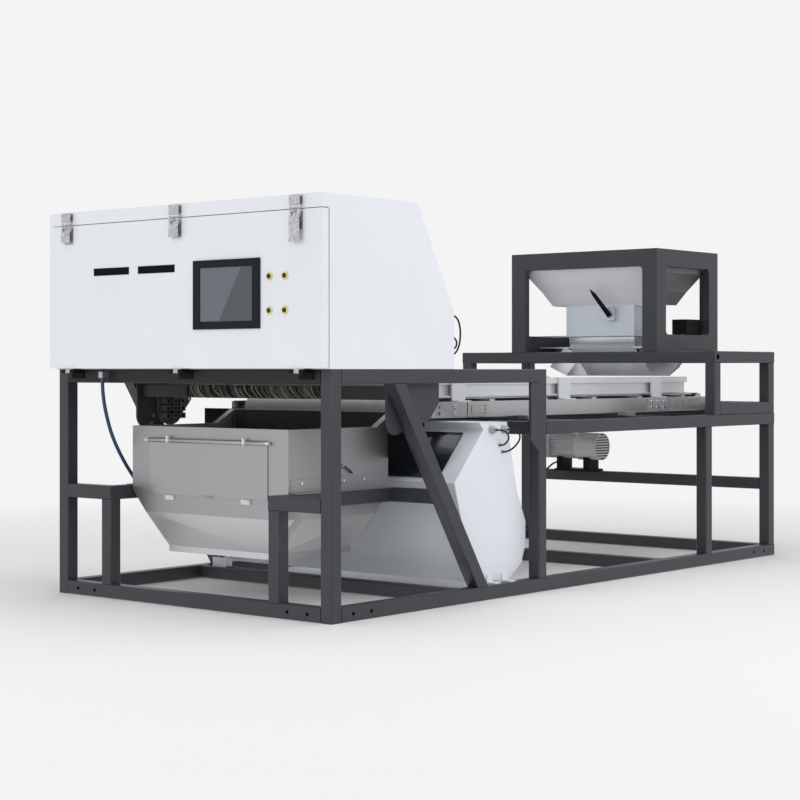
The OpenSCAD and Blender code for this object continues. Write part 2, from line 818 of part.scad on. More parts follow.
module beam_plates() {
    color(c_zinc) both_sides() {
        bearing_plate(beam_y[0], head_y + 55, head_y);
        plate_on_beam(splice_y[0], splice_y[1], splice_t);
        difference() {
            plate_on_beam(drilled_y[0], drilled_y[1], drilled_t);
            for (y = [drilled_y[0] + 28, drilled_y[1] - 28], z = [18, 34, 50])
                bar_x([beam_x - over, y, beam_z + z], drilled_t + 2 * over, 4);
        }
        plate_on_beam(rear_splice_y[0], rear_splice_y[1], rear_splice_t);
        bearing_plate(take_up_y[0], take_up_y[1], tail_y) for (i = [0 : 2], z = [18, 50])
            bar_x([beam_x - over, take_up_y[0] + 50 + i * take_up_pitch, beam_z + z], bearing_t + 2 * over, 5);
    }
}

// Skirts along the belt, held by bent brackets that stand on the beams
skirt_x = belt_w / 2 + 12;
skirt_z = belt_z + 4;
skirt_top = belt_z + 88;
skirt_y = [belt_front_y + 60, tail_y - 165];
bracket_inset = [409, 319];
bracket_pitch = (skirt_y[1] - skirt_y[0] - bracket_inset[0] - bracket_inset[1]) / 2;
bracket_ys = [for (i = [0 : 2]) skirt_y[0] + bracket_inset[0] + i * bracket_pitch];
bracket_w = 96;
skirt_t = 3;

module skirt_section() {
    square([skirt_t, skirt_top - skirt_z]);
    square([20, skirt_t]);
    translate([0, skirt_top - skirt_z - 30]) square([20, 30]);
}

module belt_skirts() {
    color(c_alu) both_sides() {
        translate([skirt_x, skirt_y[1], skirt_z]) rotate([90, 0, 0]) linear_extrude(skirt_y[1] - skirt_y[0]) skirt_section();
        for (y = bracket_ys) {
            block([skirt_x + 20 + weld, y - bracket_w / 2, beam_top], [beam_x - 4, y + bracket_w / 2, beam_top + 5]);
            block([skirt_x + 20 + weld, y - bracket_w / 2, beam_top + 5], [skirt_x + 30, y + bracket_w / 2, skirt_top]);
        }
    }
}

// Bed that carries the belt: a plate on cross ribs that lie on the beams
bed_t = 6;
bed_gap = 60;
rib_w = 40;
bed_y = [head_y + bed_gap, tail_y - bed_gap];

module slider_bed() {
    color(c_steel) {
        block([-belt_w / 2, bed_y[0], belt_z - belt_t - bed_t], [belt_w / 2, bed_y[1], belt_z - belt_t]);
        for (y = bracket_ys, s = [-1, 1]) translate([0, y + s * bracket_pitch / 4 - rib_w / 2, 0])
            block([-beam_x + 6, 0, beam_top], [beam_x - 6, rib_w, belt_z - belt_t - bed_t]);
    }
}

module belt_loop(r) {
    for (y = [head_y, tail_y]) translate([y, roller_z]) circle(r, $fn = 64);
    translate([head_y, roller_z - r]) square([tail_y - head_y, 2 * r]);
}

module conveyor_belt() {
    color("#2d3132") slab_x(-belt_w / 2, belt_w / 2) difference() {
        belt_loop(roller_r + belt_t);
        belt_loop(roller_r + run_gap);
    }
}

module roller(y, reach) {
    bar_x([-belt_w / 2 - 2, y, roller_z], belt_w + 4, roller_r);
    bar_x([-reach, y, roller_z], reach + beam_x + bearing_t + 6, shaft_r);
}

module head_roller() {
    color(c_zinc) roller(head_y, beam_x + bearing_t + 6);
}

// Drive: motor on the rear rail, with a flat belt to the tail roller
motor_y = frame_l - cowl_r - 6;
pulley_w = 26;
pulley_x = motor_end_x - motor_l - 42;

module tail_roller() {
    color(c_zinc) {
        roller(tail_y, -pulley_x);
        bar_x([pulley_x, tail_y, roller_z], pulley_w, pulley_r);
    }
}

drive_dy = motor_y - tail_y;
drive_dz = motor_z - roller_z;
drive_len = sqrt(drive_dy * drive_dy + drive_dz * drive_dz);
drive_belt_t = 4;

module drive_loop(r) {
    translate([tail_y, roller_z]) rotate(atan2(drive_dz, drive_dy)) {
        circle(r);
        translate([drive_len, 0]) circle(r);
        translate([0, -r]) square([drive_len, 2 * r]);
    }
}

module drive_belt() {
    color(c_black) slab_x(pulley_x + 3, pulley_x + pulley_w - 3) difference() {
        drive_loop(pulley_r + drive_belt_t);
        drive_loop(pulley_r + run_gap);
    }
}

fin_n = 28;
cowl_l = 150;
stator_l = 180;
flange_l = motor_l - cowl_l - stator_l;
term_w = 96;
term_h = 120;
term_d = 46;

module motor_body() {
    color(c_zinc) {
        difference() {
            union() {
                bar_x([motor_end_x - motor_l, motor_y, motor_z], flange_l, motor_r);
                bar_x([motor_end_x - motor_l + flange_l, motor_y, motor_z], stator_l, motor_r - 8);
                for (i = [0 : fin_n - 1]) translate([motor_end_x - motor_l + flange_l, motor_y, motor_z]) rotate([i * 360 / fin_n, 0, 0])
                    block([0, -2, motor_r - 12], [stator_l, 2, motor_r]);
                bar_x([motor_end_x - cowl_l, motor_y, motor_z], cowl_l, cowl_r);
            }
            bar_x([motor_end_x - motor_l - over, motor_y, motor_z], 30 + over, shaft_r + run_gap);
            bar_x([motor_end_x - 4, motor_y, motor_z], 4 + over, cowl_r - 4);
        }
        for (i = [-4 : 4]) let (h = sqrt(pow(cowl_r - 4, 2) - pow(i * 15, 2)))
            block([motor_end_x - 4, motor_y - h, motor_z + i * 15 - 3], [motor_end_x - 1, motor_y + h, motor_z + i * 15 + 3]);
        block([motor_end_x - motor_l + 6, motor_y - motor_r - term_d, motor_z - term_h / 2],
            [motor_end_x - motor_l + 6 + term_w, motor_y - motor_r, motor_z + term_h / 2]);
    }
}

base_x = [motor_end_x - 290, motor_end_x - 50];

module motor_base() {
    color(c_black) {
        block([base_x[0], motor_y - 62, motor_rail_z + tube], [base_x[1], frame_l, motor_rail_z + tube + 12]);
        for (x = [base_x[0] + 8, base_x[1] - 48]) difference() {
            block([x, motor_y - 50, motor_rail_z + tube + 12], [x + 40, motor_y + 50, motor_z - 30]);
            bar_x([x - over, motor_y, motor_z], 40 + 2 * over, cowl_r);
        }
    }
}

module motor_rotor() {
    color(c_zinc) {
        bar_x([pulley_x - 6, motor_y, motor_z], motor_end_x - motor_l + 28 - pulley_x + 6, shaft_r);
        bar_x([pulley_x, motor_y, motor_z], pulley_w, pulley_r);
    }
}

// Feed hopper: a welded sheet funnel over the throat
feed_mid_y = (feed_y + frame_l) / 2;
funnel_t = 3;
throat_z = [feed_h + 87, feed_h + 257];
funnel_levels = [[throat_z[1], 310, 146], [throat_z[1] + 74, 350, 190], [hop_h - band, hop_x - band_t - 2, (frame_l - feed_y) / 2 - band_t - 2]];

function funnel_ring(l, t) = let (x = l[1] - t, y = l[2] - t)
    [[-x, feed_mid_y - y, l[0]], [x, feed_mid_y - y, l[0]], [x, feed_mid_y + y, l[0]], [-x, feed_mid_y + y, l[0]]];

// One wall of the funnel, with its ends and foot a weld line short of the next walls
function short_edge(r, k) = let (n = (k + 1) % 4, d = weld * (r[n] - r[k]) / norm(r[n] - r[k])) [r[k] + d, r[n] - d];

module funnel_wall(low, high, k) {
    foot = [low[0] + weld, low[1], low[2]];
    a = short_edge(funnel_ring(foot, 0), k);
    b = short_edge(funnel_ring(foot, funnel_t), k);
    c = short_edge(funnel_ring(high, 0), k);
    d = short_edge(funnel_ring(high, funnel_t), k);
    six_sided([a[0], a[1], b[1], b[0]], [c[0], c[1], d[1], d[0]]);
}

module funnel() {
    color(c_steel) {
        for (i = [0, 1], k = [0 : 3]) funnel_wall(funnel_levels[i], funnel_levels[i + 1], k);
        both_sides() block([hop_x - band_t - 2, feed_y + 140, window_top - 30], [hop_x - band_t, frame_l - 140, window_top]);
    }
}

throat_x = 222;
throat_y = [feed_mid_y - 142, feed_mid_y + 142];
gate_x = 84;
gate_z = throat_z[1] - 52;
gate_r = 8;
gate_block = [24, 30];

module throat_housing() {
    color(c_steel) difference() {
        union() {
            block([-throat_x, throat_y[0], throat_z[0]], [throat_x, throat_y[1], throat_z[1]]);
            block([gate_x - gate_block[0], throat_y[0] - gate_block[1], gate_z - 32], [gate_x + gate_block[0], throat_y[0], gate_z + 38]);
            both_sides() block([throat_x, throat_y[0] + 40, throat_z[0]], [hop_x - band_t, throat_y[0] + 70, throat_z[0] + 6]);
            both_sides() block([throat_x, throat_y[0] + 150, throat_z[0]], [hop_x - band_t, throat_y[0] + 180, throat_z[0] + 6]);
        }
        block([-throat_x + funnel_t, throat_y[0] + funnel_t, throat_z[0] - over], [throat_x - funnel_t, throat_y[1] - funnel_t, throat_z[1] + over]);
        bar_y([gate_x, throat_y[0] - gate_block[1] - over, gate_z], throat_y[1] - throat_y[0] + gate_block[1] + 2 * over, gate_r + run_gap);
    }
}

lever_l = 170;
lever_lean = 30;

module gate_lever() {
    color(c_black) {
        bar_y([gate_x, throat_y[0] - gate_block[1] - 14, gate_z], throat_y[1] - throat_y[0] + gate_block[1] + 20, gate_r);
        translate([gate_x, throat_y[0] - gate_block[1] - 8, gate_z]) rotate([0, -lever_lean, 0]) rotate([22, 0, 0])
            slab_y(-8, 0) polygon([[-14, -12], [14, -12], [11, lever_l * 0.8], [0, lever_l], [-9, lever_l * 0.8]]);
        block([gate_x - 190, throat_y[0] + funnel_t + 8, gate_z - 2], [gate_x + 70, throat_y[1] - funnel_t - 8, gate_z + 2]);
    }
}

// Vibrating feeder pan: a round trough under the throat and a spreading chute
trough_r = 128;
trough_x = 213;
trough_z = throat_z[0] - 4;
pan_t = 3;
chute_low = [feed_mid_y + 30.5, feed_h - 130];
chute_high = [feed_mid_y + 174.5, feed_h - 17];
chute_x = 338;
chute_flare = 88;
chute_dir = (chute_high - chute_low) / norm(chute_high - chute_low);
chute_up = [-chute_dir[1], chute_dir[0]];
flare_h = 62;
ear_z = feed_h + 23;
front_ear = [hop_x - 64, feed_mid_y - 134, feed_mid_y - 14];
rear_ear = [274, feed_mid_y + 70, feed_mid_y + 230];

module trough_outline() {
    difference() {
        circle(trough_r);
        circle(trough_r - pan_t);
        translate([-trough_r - over, 0]) square([2 * trough_r + 2 * over, trough_r + over]);
        rotate(-50) square([trough_r + over, 46]);
    }
}

function chute_at(along, up) = chute_low + along * (chute_high - chute_low) + up * chute_up;
function chute_point(x, along, up) = [x, chute_at(along, up)[0], chute_at(along, up)[1]];

module chute_flank() {
    six_sided([chute_point(chute_x, 0, 0), chute_point(chute_x, 1, 0), chute_point(chute_x, 1, pan_t), chute_point(chute_x, 0, pan_t)],
        [chute_point(chute_x + chute_flare, 0, flare_h), chute_point(chute_x + chute_flare, 1, flare_h),
        chute_point(chute_x + chute_flare, 1, flare_h + pan_t), chute_point(chute_x + chute_flare, 0, flare_h + pan_t)]);
}

module feeder_pan() {
    color(c_steel) {
        slab_x(-trough_x, trough_x) translate([feed_mid_y, trough_z]) trough_outline();
        slab_x(-chute_x, chute_x) polygon([chute_at(0, 0), chute_at(1, 0), chute_at(1, pan_t), chute_at(0, pan_t)]);
        both_sides() {
            slab_x(trough_x - pan_t, trough_x) difference() {
                polygon([[feed_mid_y - trough_r, trough_z], [feed_mid_y + trough_r, trough_z], chute_at(0.98, 1), chute_at(0.1, 1),
                    [feed_mid_y - 30, trough_z - trough_r]]);
            }
            chute_flank();
            for (e = [front_ear, rear_ear]) block([trough_x, e[1], ear_z], [e[0], e[2], ear_z + 6]);
        }
    }
}

mount_bar = 40;
mount_r = 18;
mount_z = [feed_h - tube + 10, feed_h - 8];

// Bars on the feed frame's cross rails, each with rubber mounts under an ear of the pan
module mount_bar_at(x, y0, y1, mount_ys) {
    block([x - mount_bar / 2, y0, mount_z[0]], [x + mount_bar / 2, y1, mount_z[1]]);
    for (y = mount_ys) bar_z([x, y, mount_z[1]], ear_z - mount_z[1] - seat_gap, mount_r);
}

module feeder_mounts() {
    color(c_black) both_sides() {
        mount_bar_at(front_ear[0] - mount_bar / 2, feed_y + tube, front_ear[2] + 2, [front_ear[1] + 30, front_ear[2] - 20]);
        mount_bar_at(rear_ear[0] - mount_bar / 2, rear_ear[2] - 40, end_y, [rear_ear[2] - 20]);
    }
}

drive_box = [90, 150];
drive_inset = 112;

module feeder_drive() {
    color(c_black) {
        block([hop_x - band_t - drive_box[0], frame_l - drive_inset - drive_box[1], feed_h + 50], [hop_x - band_t, frame_l - drive_inset, window_low + 86]);
        block([-70, end_y - 58, mount_z[0] - 4], [70, end_y, feed_h]);
    }
}

// Glands and fittings
gland_x = side_x - 30;
gland_zs = [front_h + 228, front_h + 62, front_h + 134, front_h + 86];

module cable_glands() {
    color(c_black) {
        for (z = gland_zs) {
            bar_y([gland_x, cab_back_y, z], 6, 11);
            bar_y([gland_x, cab_back_y + 6, z], 10, 8);
        }
        bar_z([motor_end_x - motor_l + 60, motor_y - motor_r - term_d / 2, motor_z - term_h / 2 - 16], 16, 12);
        bar_z([motor_end_x - motor_l + 60, motor_y - motor_r - term_d / 2, motor_z - term_h / 2 - 24], 8, 9);
        bar_z([motor_end_x - motor_l + 90, end_y + 20, motor_rail_z + tube], 18, 11);
    }
}

conn_y = [front_l - 325, front_l - 237];
conn_z = box_h - 33;
conn_end = [[front_l - 265, box_h - 102], [front_l - 245, box_h - 132]];
hose_x = -495;
hose_exit_y = -28;
hose_exit_z = front_h - 38;
air_block = [-690, 830, tube];

module metal_fittings() {
    color(c_zinc) {
        for (y = conn_y) {
            bar_x([box_x, y, conn_z], 14, 18);
            bar_x([box_x + 14, y, conn_z], 14, 12);
        }
        for (p = conn_end) bar_x([box_x, p[0], p[1]], 5, 8);
        block([hose_x - 12, hose_exit_y - 12, hose_exit_z], [hose_x + 12, 0, hose_exit_z + 26]);
        block([air_block[0], air_block[1], air_block[2]], [air_block[0] + 90, air_block[1] + 40, air_block[2] + 44]);
    }
}

// Bolts on the side plates, the bearing plates and the hopper flange
side_bolts = [[plate_rear_y - 20, lobe_z + 73], [lobe_y + 40, lobe_z], [lobe_y + 30, lobe_z - 32]];
bolt_zs = [20, 50];
beam_bolts_front = [for (y = [splice_y[0] + 50, splice_y[0] + 170], z = bolt_zs) [y, z]];
beam_bolts_rear = [for (i = [0 : 2], z = bolt_zs) [rear_splice_y[0] + 29 + 60 * i, z]];
flange_bolts = [for (i = [0 : 3]) dis_y + 76 + 130 * i];

module frame_bolts() {
    color(c_zinc) both_sides() {
        for (p = side_bolts) bar_x([plate_x - 7, p[0], p[1]], 7, 8);
        for (p = beam_bolts_front) bar_x([beam_x + splice_t, p[0], beam_z + p[1]], 6, 9);
        for (p = beam_bolts_rear) bar_x([beam_x + rear_splice_t, p[0], beam_z + p[1]], 6, 8);
        for (y = flange_bolts) bar_x([dis_x + dis_wall, y, carrier_top + 40], 5, 6);
    }
}

// Front door: a sheet tray that opens forwards about its bottom hinges
door_z = [front_h + door_gap, header_z - door_gap];
door_wall = 3;
button_xs = [side_x - 285, side_x - 200];
button_zs = [panel_z + 66, panel_z - 71];

module front_door() {
    color(c_white) difference() {
        block([-side_x, door_face_y, door_z[0]], [side_x, -cab_lip - seat_gap, door_z[1]]);
        block([-side_x + door_wall, door_face_y + door_wall, door_z[0] + door_wall], [side_x - door_wall, over - cab_lip, door_z[1] - door_wall]);
        for (x = button_xs, z = button_zs) bar_y([x, door_face_y - over, z], door_wall + 2 * over, button_r + run_gap);
    }
}

bezel_t = 8;
screen_t = 5;

module touch_bezel() {
    color(c_black) difference() {
        block([panel_x - bezel_w / 2, door_face_y - bezel_t, panel_z - bezel_h / 2], [panel_x + bezel_w / 2, door_face_y, panel_z + bezel_h / 2]);
        block([panel_x - screen_w / 2, door_face_y - bezel_t - over, panel_z - screen_h / 2],
            [panel_x + screen_w / 2, door_face_y + over, panel_z + screen_h / 2]);
    }
}

module touch_screen() {
    color("#5c6166") block([panel_x - screen_w / 2 + run_gap, door_face_y - screen_t, panel_z - screen_h / 2 + run_gap],
        [panel_x + screen_w / 2 - run_gap, door_face_y, panel_z + screen_h / 2 - run_gap]);
}

slot_plate_w = 226;
slot_plate_h = 32;
slot_plate_t = 2;
slot_plate_xs = [panel_x - 816, panel_x - 533];
slot_plate_z = header_z - 228;

module slot_plates() {
    color(c_black) for (x = slot_plate_xs) translate([x, door_face_y - slot_plate_t, slot_plate_z])
        cube([slot_plate_w, slot_plate_t, slot_plate_h]);
}

module button_rings() {
    color(c_brass) for (x = button_xs, z = button_zs) translate([x, door_face_y, z]) rotate([90, 0, 0])
        rotate_extrude() polygon([[button_r + run_gap, 0], [button_r + 7, 0], [button_r + 7, 3], [button_r + 4, 6], [button_r + run_gap, 6]]);
}

button_proud = 10;

module button(x, z) {
    color("#3a3326") translate([x, door_face_y - button_proud, z]) rotate([-90, 0, 0]) rotate_extrude()
        polygon([[0, 0], [button_r - 2, 0], [button_r, 2], [button_r, button_proud + 14], [0, button_proud + 14]]);
}

// Latch bases with their bails, and the moving hinge leaves
latch_pin_y = door_face_y - 12;
latch_pin_z = header_z - 22;
latch_base_h = 62;
latch_pin_r = 3;
ear_x = 18;
ear_t = 4;

module latch_base(x) {
    translate([x, 0, 0]) {
        block([-latch_w / 2, door_face_y - 3, latch_pin_z - latch_base_h], [latch_w / 2, door_face_y, latch_pin_z + 14]);
        for (s = [-1, 1]) block([s * ear_x - ear_t / 2, latch_pin_y - 5, latch_pin_z - 8], [s * ear_x + ear_t / 2, door_face_y - 3, latch_pin_z + 8]);
        bar_x([-latch_w / 2, latch_pin_y, latch_pin_z], latch_w, latch_pin_r);
    }
}

bail_y = hook_y - 5;
bail_top = keeper_z + keeper_h + 2;

module latch_bail(x) {
    translate([x, 0, 0]) difference() {
        union() {
            for (s = [-1, 1]) block([s * (ear_x + 5) - 2.5, bail_y - 3, latch_pin_z - 6], [s * (ear_x + 5) + 2.5, latch_pin_y + 5, latch_pin_z + 6]);
            for (s = [-1, 1]) block([s * (ear_x + 5) - 2.5, bail_y - 3, latch_pin_z], [s * (ear_x + 5) + 2.5, bail_y + 2, bail_top]);
            block([-ear_x - 5, bail_y - 3, bail_top - 5], [ear_x + 5, bail_y + 2, bail_top]);
        }
        bar_x([-latch_w, latch_pin_y, latch_pin_z], 2 * latch_w, latch_pin_r + run_gap);
    }
}

module hinge_leaf(x) {
    translate([x, 0, 0]) difference() {
        union() {
            block([-hinge_l / 2, hinge_y - 5, door_z[0] - 3], [hinge_l / 2, -cab_lip - 2, door_z[0]]);
            block([-knuckle_l / 2 + 0.5, hinge_y - 5, hinge_z], [knuckle_l / 2 - 0.5, hinge_y + 5, door_z[0] - 3]);
            bar_x([-knuckle_l / 2 + 0.5, hinge_y, hinge_z], knuckle_l - 1, knuckle_r);
        }
        bar_x([-knuckle_l, hinge_y, hinge_z], 2 * knuckle_l, pin_r + run_gap);
    }
}

module door_fittings() {
    color(c_zinc) for (x = hinge_xs) {
        latch_base(x);
        latch_bail(x);
        hinge_leaf(x);
    }
}

latch_lengths = [52, 58, 108];

module latch_lever(i) {
    color(c_zinc) translate([hinge_xs[i], latch_pin_y, latch_pin_z]) difference() {
        union() {
            bar_x([-ear_x + ear_t, 0, 0], 2 * (ear_x - ear_t), 6);
            slab_x(-ear_x + ear_t, ear_x - ear_t) polygon([[-6, 0], [-2, 0], [-2, -latch_lengths[i] + 12], [-6, -latch_lengths[i]], [-9, -latch_lengths[i]], [-6, -latch_lengths[i] + 14]]);
        }
        bar_x([-latch_w, 0, 0], 2 * latch_w, latch_pin_r + run_gap);
    }
}

// Free cords: a round tube swept along hand-chosen points
cord_sides = 8;
function unit(v) = v / norm(v);
function path_dir(p, i) = unit(p[min(i + 1, len(p) - 1)] - p[max(i - 1, 0)]);
function cord_ring(p, i, r, side) = let (d = path_dir(p, i), a = unit(cross(d, side)), b = cross(d, a))
    [for (k = [0 : cord_sides - 1]) p[i] + r * (cos(360 * k / cord_sides) * a + sin(360 * k / cord_sides) * b)];

module cord(p, d, side) {
    n = len(p);
    skin = [for (i = [0 : n - 2], k = [0 : cord_sides - 1]) let (a = i * cord_sides + k, b = i * cord_sides + (k + 1) % cord_sides)
        each [[a, a + cord_sides, b + cord_sides], [a, b + cord_sides, b]]];
    ends = [[for (k = [0 : cord_sides - 1]) k], [for (k = [cord_sides - 1 : -1 : 0]) (n - 1) * cord_sides + k]];
    polyhedron([for (i = [0 : n - 1]) each cord_ring(p, i, d / 2, side)], concat(skin, ends));
}

hose_d = 16;
hose_points = [[-495, -28, 962], [-495, -28, 930], [-498, -22, 890], [-504, -8, 840], [-512, 14, 785], [-522, 44, 725],
    [-533, 84, 664], [-545, 132, 604], [-557, 190, 540], [-570, 262, 470], [-583, 348, 400], [-596, 446, 330],
    [-610, 552, 262], [-624, 654, 204], [-636, 740, 160], [-643, 800, 132], [-645, 836, 116], [-645, 850, 108], [-645, 850, 104]];

module air_hose() {
    color(c_blue) cord(hose_points, hose_d, [1, 0, 0]);
}

cable_d = 8;
box_cable_a = [[778.3, 1126, 733], [788, 1126, 733], [800, 1133, 732], [807, 1148, 728], [809, 1166, 718], [806, 1181, 704],
    [798, 1189, 689], [786, 1190, 675], [774, 1187, 666], [764, 1186, 664], [755.3, 1186, 664]];
box_cable_b = [[778.3, 1214, 733], [788, 1214, 733], [801, 1222, 732], [810, 1238, 725], [813, 1253, 709], [810, 1257, 690],
    [801, 1249, 668], [788, 1233, 648], [775, 1215, 637], [764, 1206, 634], [755.3, 1206, 634]];

module box_cables() {
    color(c_black) {
        cord(box_cable_a, cable_d, [0, 0, 1]);
        cord(box_cable_b, cable_d, [0, 0, 1]);
    }
}

cab_cable_a = [[790, 792.3, 1228], [790, 804, 1228], [790, 822, 1223], [790, 840, 1209], [790, 851, 1186], [790, 856, 1158],
    [790, 854, 1128], [790, 846, 1100], [790, 832, 1079], [790, 818, 1067], [790, 804, 1062], [790, 792.3, 1062]];
cab_cable_b = [[790, 792.3, 1134], [790, 803, 1134], [790, 816, 1131], [790, 826, 1123], [790, 830, 1110], [790, 826, 1097],
    [790, 816, 1089], [790, 803, 1086], [790, 792.3, 1086]];

module cabinet_cables() {
    color(c_black) {
        cord(cab_cable_a, cable_d, [1, 0, 0]);
        cord(cab_cable_b, cable_d, [1, 0, 0]);
    }
}

motor_cable_d = 10;
motor_cable_points = [[-590, 3383, 473], [-590, 3383, 462], [-589, 3384, 448], [-586, 3388, 434], [-581, 3394, 424], [-576, 3404, 420],
    [-571, 3418, 424], [-567, 3436, 436], [-564, 3458, 448], [-562, 3482, 456], [-560, 3504, 458], [-560, 3518, 452], [-560, 3522, 440], [-560, 3522, 433]];

module motor_cable() {
    color(c_black) cord(motor_cable_points, motor_cable_d, [1, 0, 0]);
}

// Everything is moved so that the origin is under the middle of the machine
module placed() {
    translate([0, -mid_y, 0]) children();
}

placed() frame_posts();
placed() bottom_rails();
placed() top_rails();
placed() hopper_carrier();
placed() feed_frame();
placed() hopper_frame();
placed() side_plates();
placed() cabinet_shell();
placed() door_hinges();
placed() latch_keepers();
placed() camera_bar();
placed() cameras();
placed() lamp_bars();
placed() control_units();
placed() cable_glands();
placed() metal_fittings();
placed() valve_bank();
placed() nozzle_bar();
placed() cable_carrier();
placed() discharge_hopper();
placed() guard_plate();
placed() hinge_rod();
placed() lower_box();
placed() window_glass();
placed() conveyor_beams();
placed() beam_plates();
placed() belt_skirts();
placed() slider_bed();
placed() conveyor_belt();
placed() feeder_mounts();
placed() feeder_drive();
placed() funnel();
placed() throat_housing();
placed() motor_body();
placed() motor_base();
placed() drive_belt();
placed() frame_bolts();
placed() air_hose();
placed() box_cables();
placed() cabinet_cables();
placed() motor_cable();
placed() front_door();
placed() touch_bezel();
placed() touch_screen();
placed() slot_plates();
placed() button_rings();
placed() door_fittings();
placed() button(button_xs[0], button_zs[0]);  // button_upper_left
placed() button(button_xs[1], button_zs[0]);  // button_upper_right
placed() button(button_xs[0], button_zs[1]);  // button_lower_left
placed() button(button_xs[1], button_zs[1]);  // button_lower_right
placed() latch_lever(0);  // latch_left
placed() latch_lever(1);  // latch_middle
placed() latch_lever(2);  // latch_right
placed() inspection_door();
placed() head_roller();
placed() tail_roller();
placed() motor_rotor();
placed() feeder_pan();
placed() gate_lever();
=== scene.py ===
import json
import math

import bpy
import numpy as np
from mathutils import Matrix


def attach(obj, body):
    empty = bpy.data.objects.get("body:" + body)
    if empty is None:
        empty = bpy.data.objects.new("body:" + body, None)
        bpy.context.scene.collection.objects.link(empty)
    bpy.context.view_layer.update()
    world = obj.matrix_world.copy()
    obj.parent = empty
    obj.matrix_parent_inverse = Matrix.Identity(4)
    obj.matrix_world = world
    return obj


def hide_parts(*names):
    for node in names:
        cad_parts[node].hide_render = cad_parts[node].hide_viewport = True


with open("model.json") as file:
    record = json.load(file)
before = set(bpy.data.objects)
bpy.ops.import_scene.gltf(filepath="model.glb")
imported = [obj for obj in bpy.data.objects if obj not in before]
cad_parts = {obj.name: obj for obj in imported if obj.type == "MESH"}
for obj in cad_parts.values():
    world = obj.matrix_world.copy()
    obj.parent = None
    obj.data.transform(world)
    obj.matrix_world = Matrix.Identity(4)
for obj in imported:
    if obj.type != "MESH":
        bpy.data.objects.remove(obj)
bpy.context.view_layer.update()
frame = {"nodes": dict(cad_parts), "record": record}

# Looks of a belt-type optical colour sorter around its solids. Blender works in metres.
# Places are written in millimetres from the front face of the base frame, as on the
# drawing, and at() moves them to the shared frame, whose origin is under the middle.

MM = 0.001
MID_Y = 1745.0
ROOT = "machine"


def at(x, y, z):
    """A drawing point in millimetres, moved into the shared frame in metres."""
    return (x * MM, (y - MID_Y) * MM, z * MM)


def points(rows):
    """Rows of drawing points as one array in the shared frame, in metres."""
    return (np.array(rows, float) - (0.0, MID_Y, 0.0)) * MM


def put_in_scene(thing):
    """Links a new object to the scene and gives it back."""
    bpy.context.scene.collection.objects.link(thing)
    return thing


# Camera: level, with two-point perspective. The photograph is 800 pixels square.
PHOTO_PX = 800
FOCAL_PX = 1854.27
HORIZON_PX = 369.14
SENSOR_MM = 36.0
CAMERA_YAW = 39.863
CAMERA_AT = (5672.8, -5393.9, 1000.0)


def place_camera():
    """The camera looks level, so upright edges stay upright, and a shift sets the horizon's height."""
    data = bpy.data.cameras.new("photo_camera")
    data.sensor_width = SENSOR_MM
    data.lens = FOCAL_PX / PHOTO_PX * SENSOR_MM
    data.shift_y = (HORIZON_PX - PHOTO_PX / 2) / PHOTO_PX
    data.clip_end = 100.0
    camera = put_in_scene(bpy.data.objects.new("photo_camera", data))
    camera.location = at(*CAMERA_AT)
    camera.rotation_euler = (math.radians(90), 0, math.radians(CAMERA_YAW))
    bpy.context.scene.camera = camera


# Cords: each route is chosen one by one, straight out of its exit and into its other end.
HOSE_D = 16.0
CABLE_D = 8.0
MOTOR_CABLE_D = 10.0

AIR_HOSE = [
    (-495, -28, 962), (-495, -28, 930), (-498, -22, 890), (-504, -8, 840), (-512, 14, 785),
    (-522, 44, 725), (-533, 84, 664), (-545, 132, 604), (-557, 190, 540), (-570, 262, 470),
    (-583, 348, 400), (-596, 446, 330), (-610, 552, 262), (-624, 654, 204), (-636, 740, 160),
    (-643, 800, 132), (-645, 836, 116), (-645, 850, 108), (-645, 850, 104),
]
BOX_CABLE_A = [
    (778.3, 1126, 733), (788, 1126, 733), (800, 1133, 732), (807, 1148, 728), (809, 1166, 718),
    (806, 1181, 704), (798, 1189, 689), (786, 1190, 675), (774, 1187, 666), (764, 1186, 664),
    (755.3, 1186, 664),
]
BOX_CABLE_B = [
    (778.3, 1214, 733), (788, 1214, 733), (801, 1222, 732), (810, 1238, 725), (813, 1253, 709),
    (810, 1257, 690), (801, 1249, 668), (788, 1233, 648), (775, 1215, 637), (764, 1206, 634),
    (755.3, 1206, 634),
]
CABINET_CABLE_A = [
    (790, 792.3, 1228), (790, 804, 1228), (790, 822, 1223), (790, 840, 1209), (790, 851, 1186),
    (790, 856, 1158), (790, 854, 1128), (790, 846, 1100), (790, 832, 1079), (790, 818, 1067),
    (790, 804, 1062), (790, 792.3, 1062),
]
CABINET_CABLE_B = [
    (790, 792.3, 1134), (790, 803, 1134), (790, 816, 1131), (790, 826, 1123), (790, 830, 1110),
    (790, 826, 1097), (790, 816, 1089), (790, 803, 1086), (790, 792.3, 1086),
]
MOTOR_CABLE = [
    (-590, 3383, 473), (-590, 3383, 462), (-589, 3384, 448), (-586, 3388, 434), (-581, 3394, 424),
    (-576, 3404, 420), (-571, 3418, 424), (-567, 3436, 436), (-564, 3458, 448), (-562, 3482, 456),
    (-560, 3504, 458), (-560, 3518, 452), (-560, 3522, 440), (-560, 3522, 433),
]

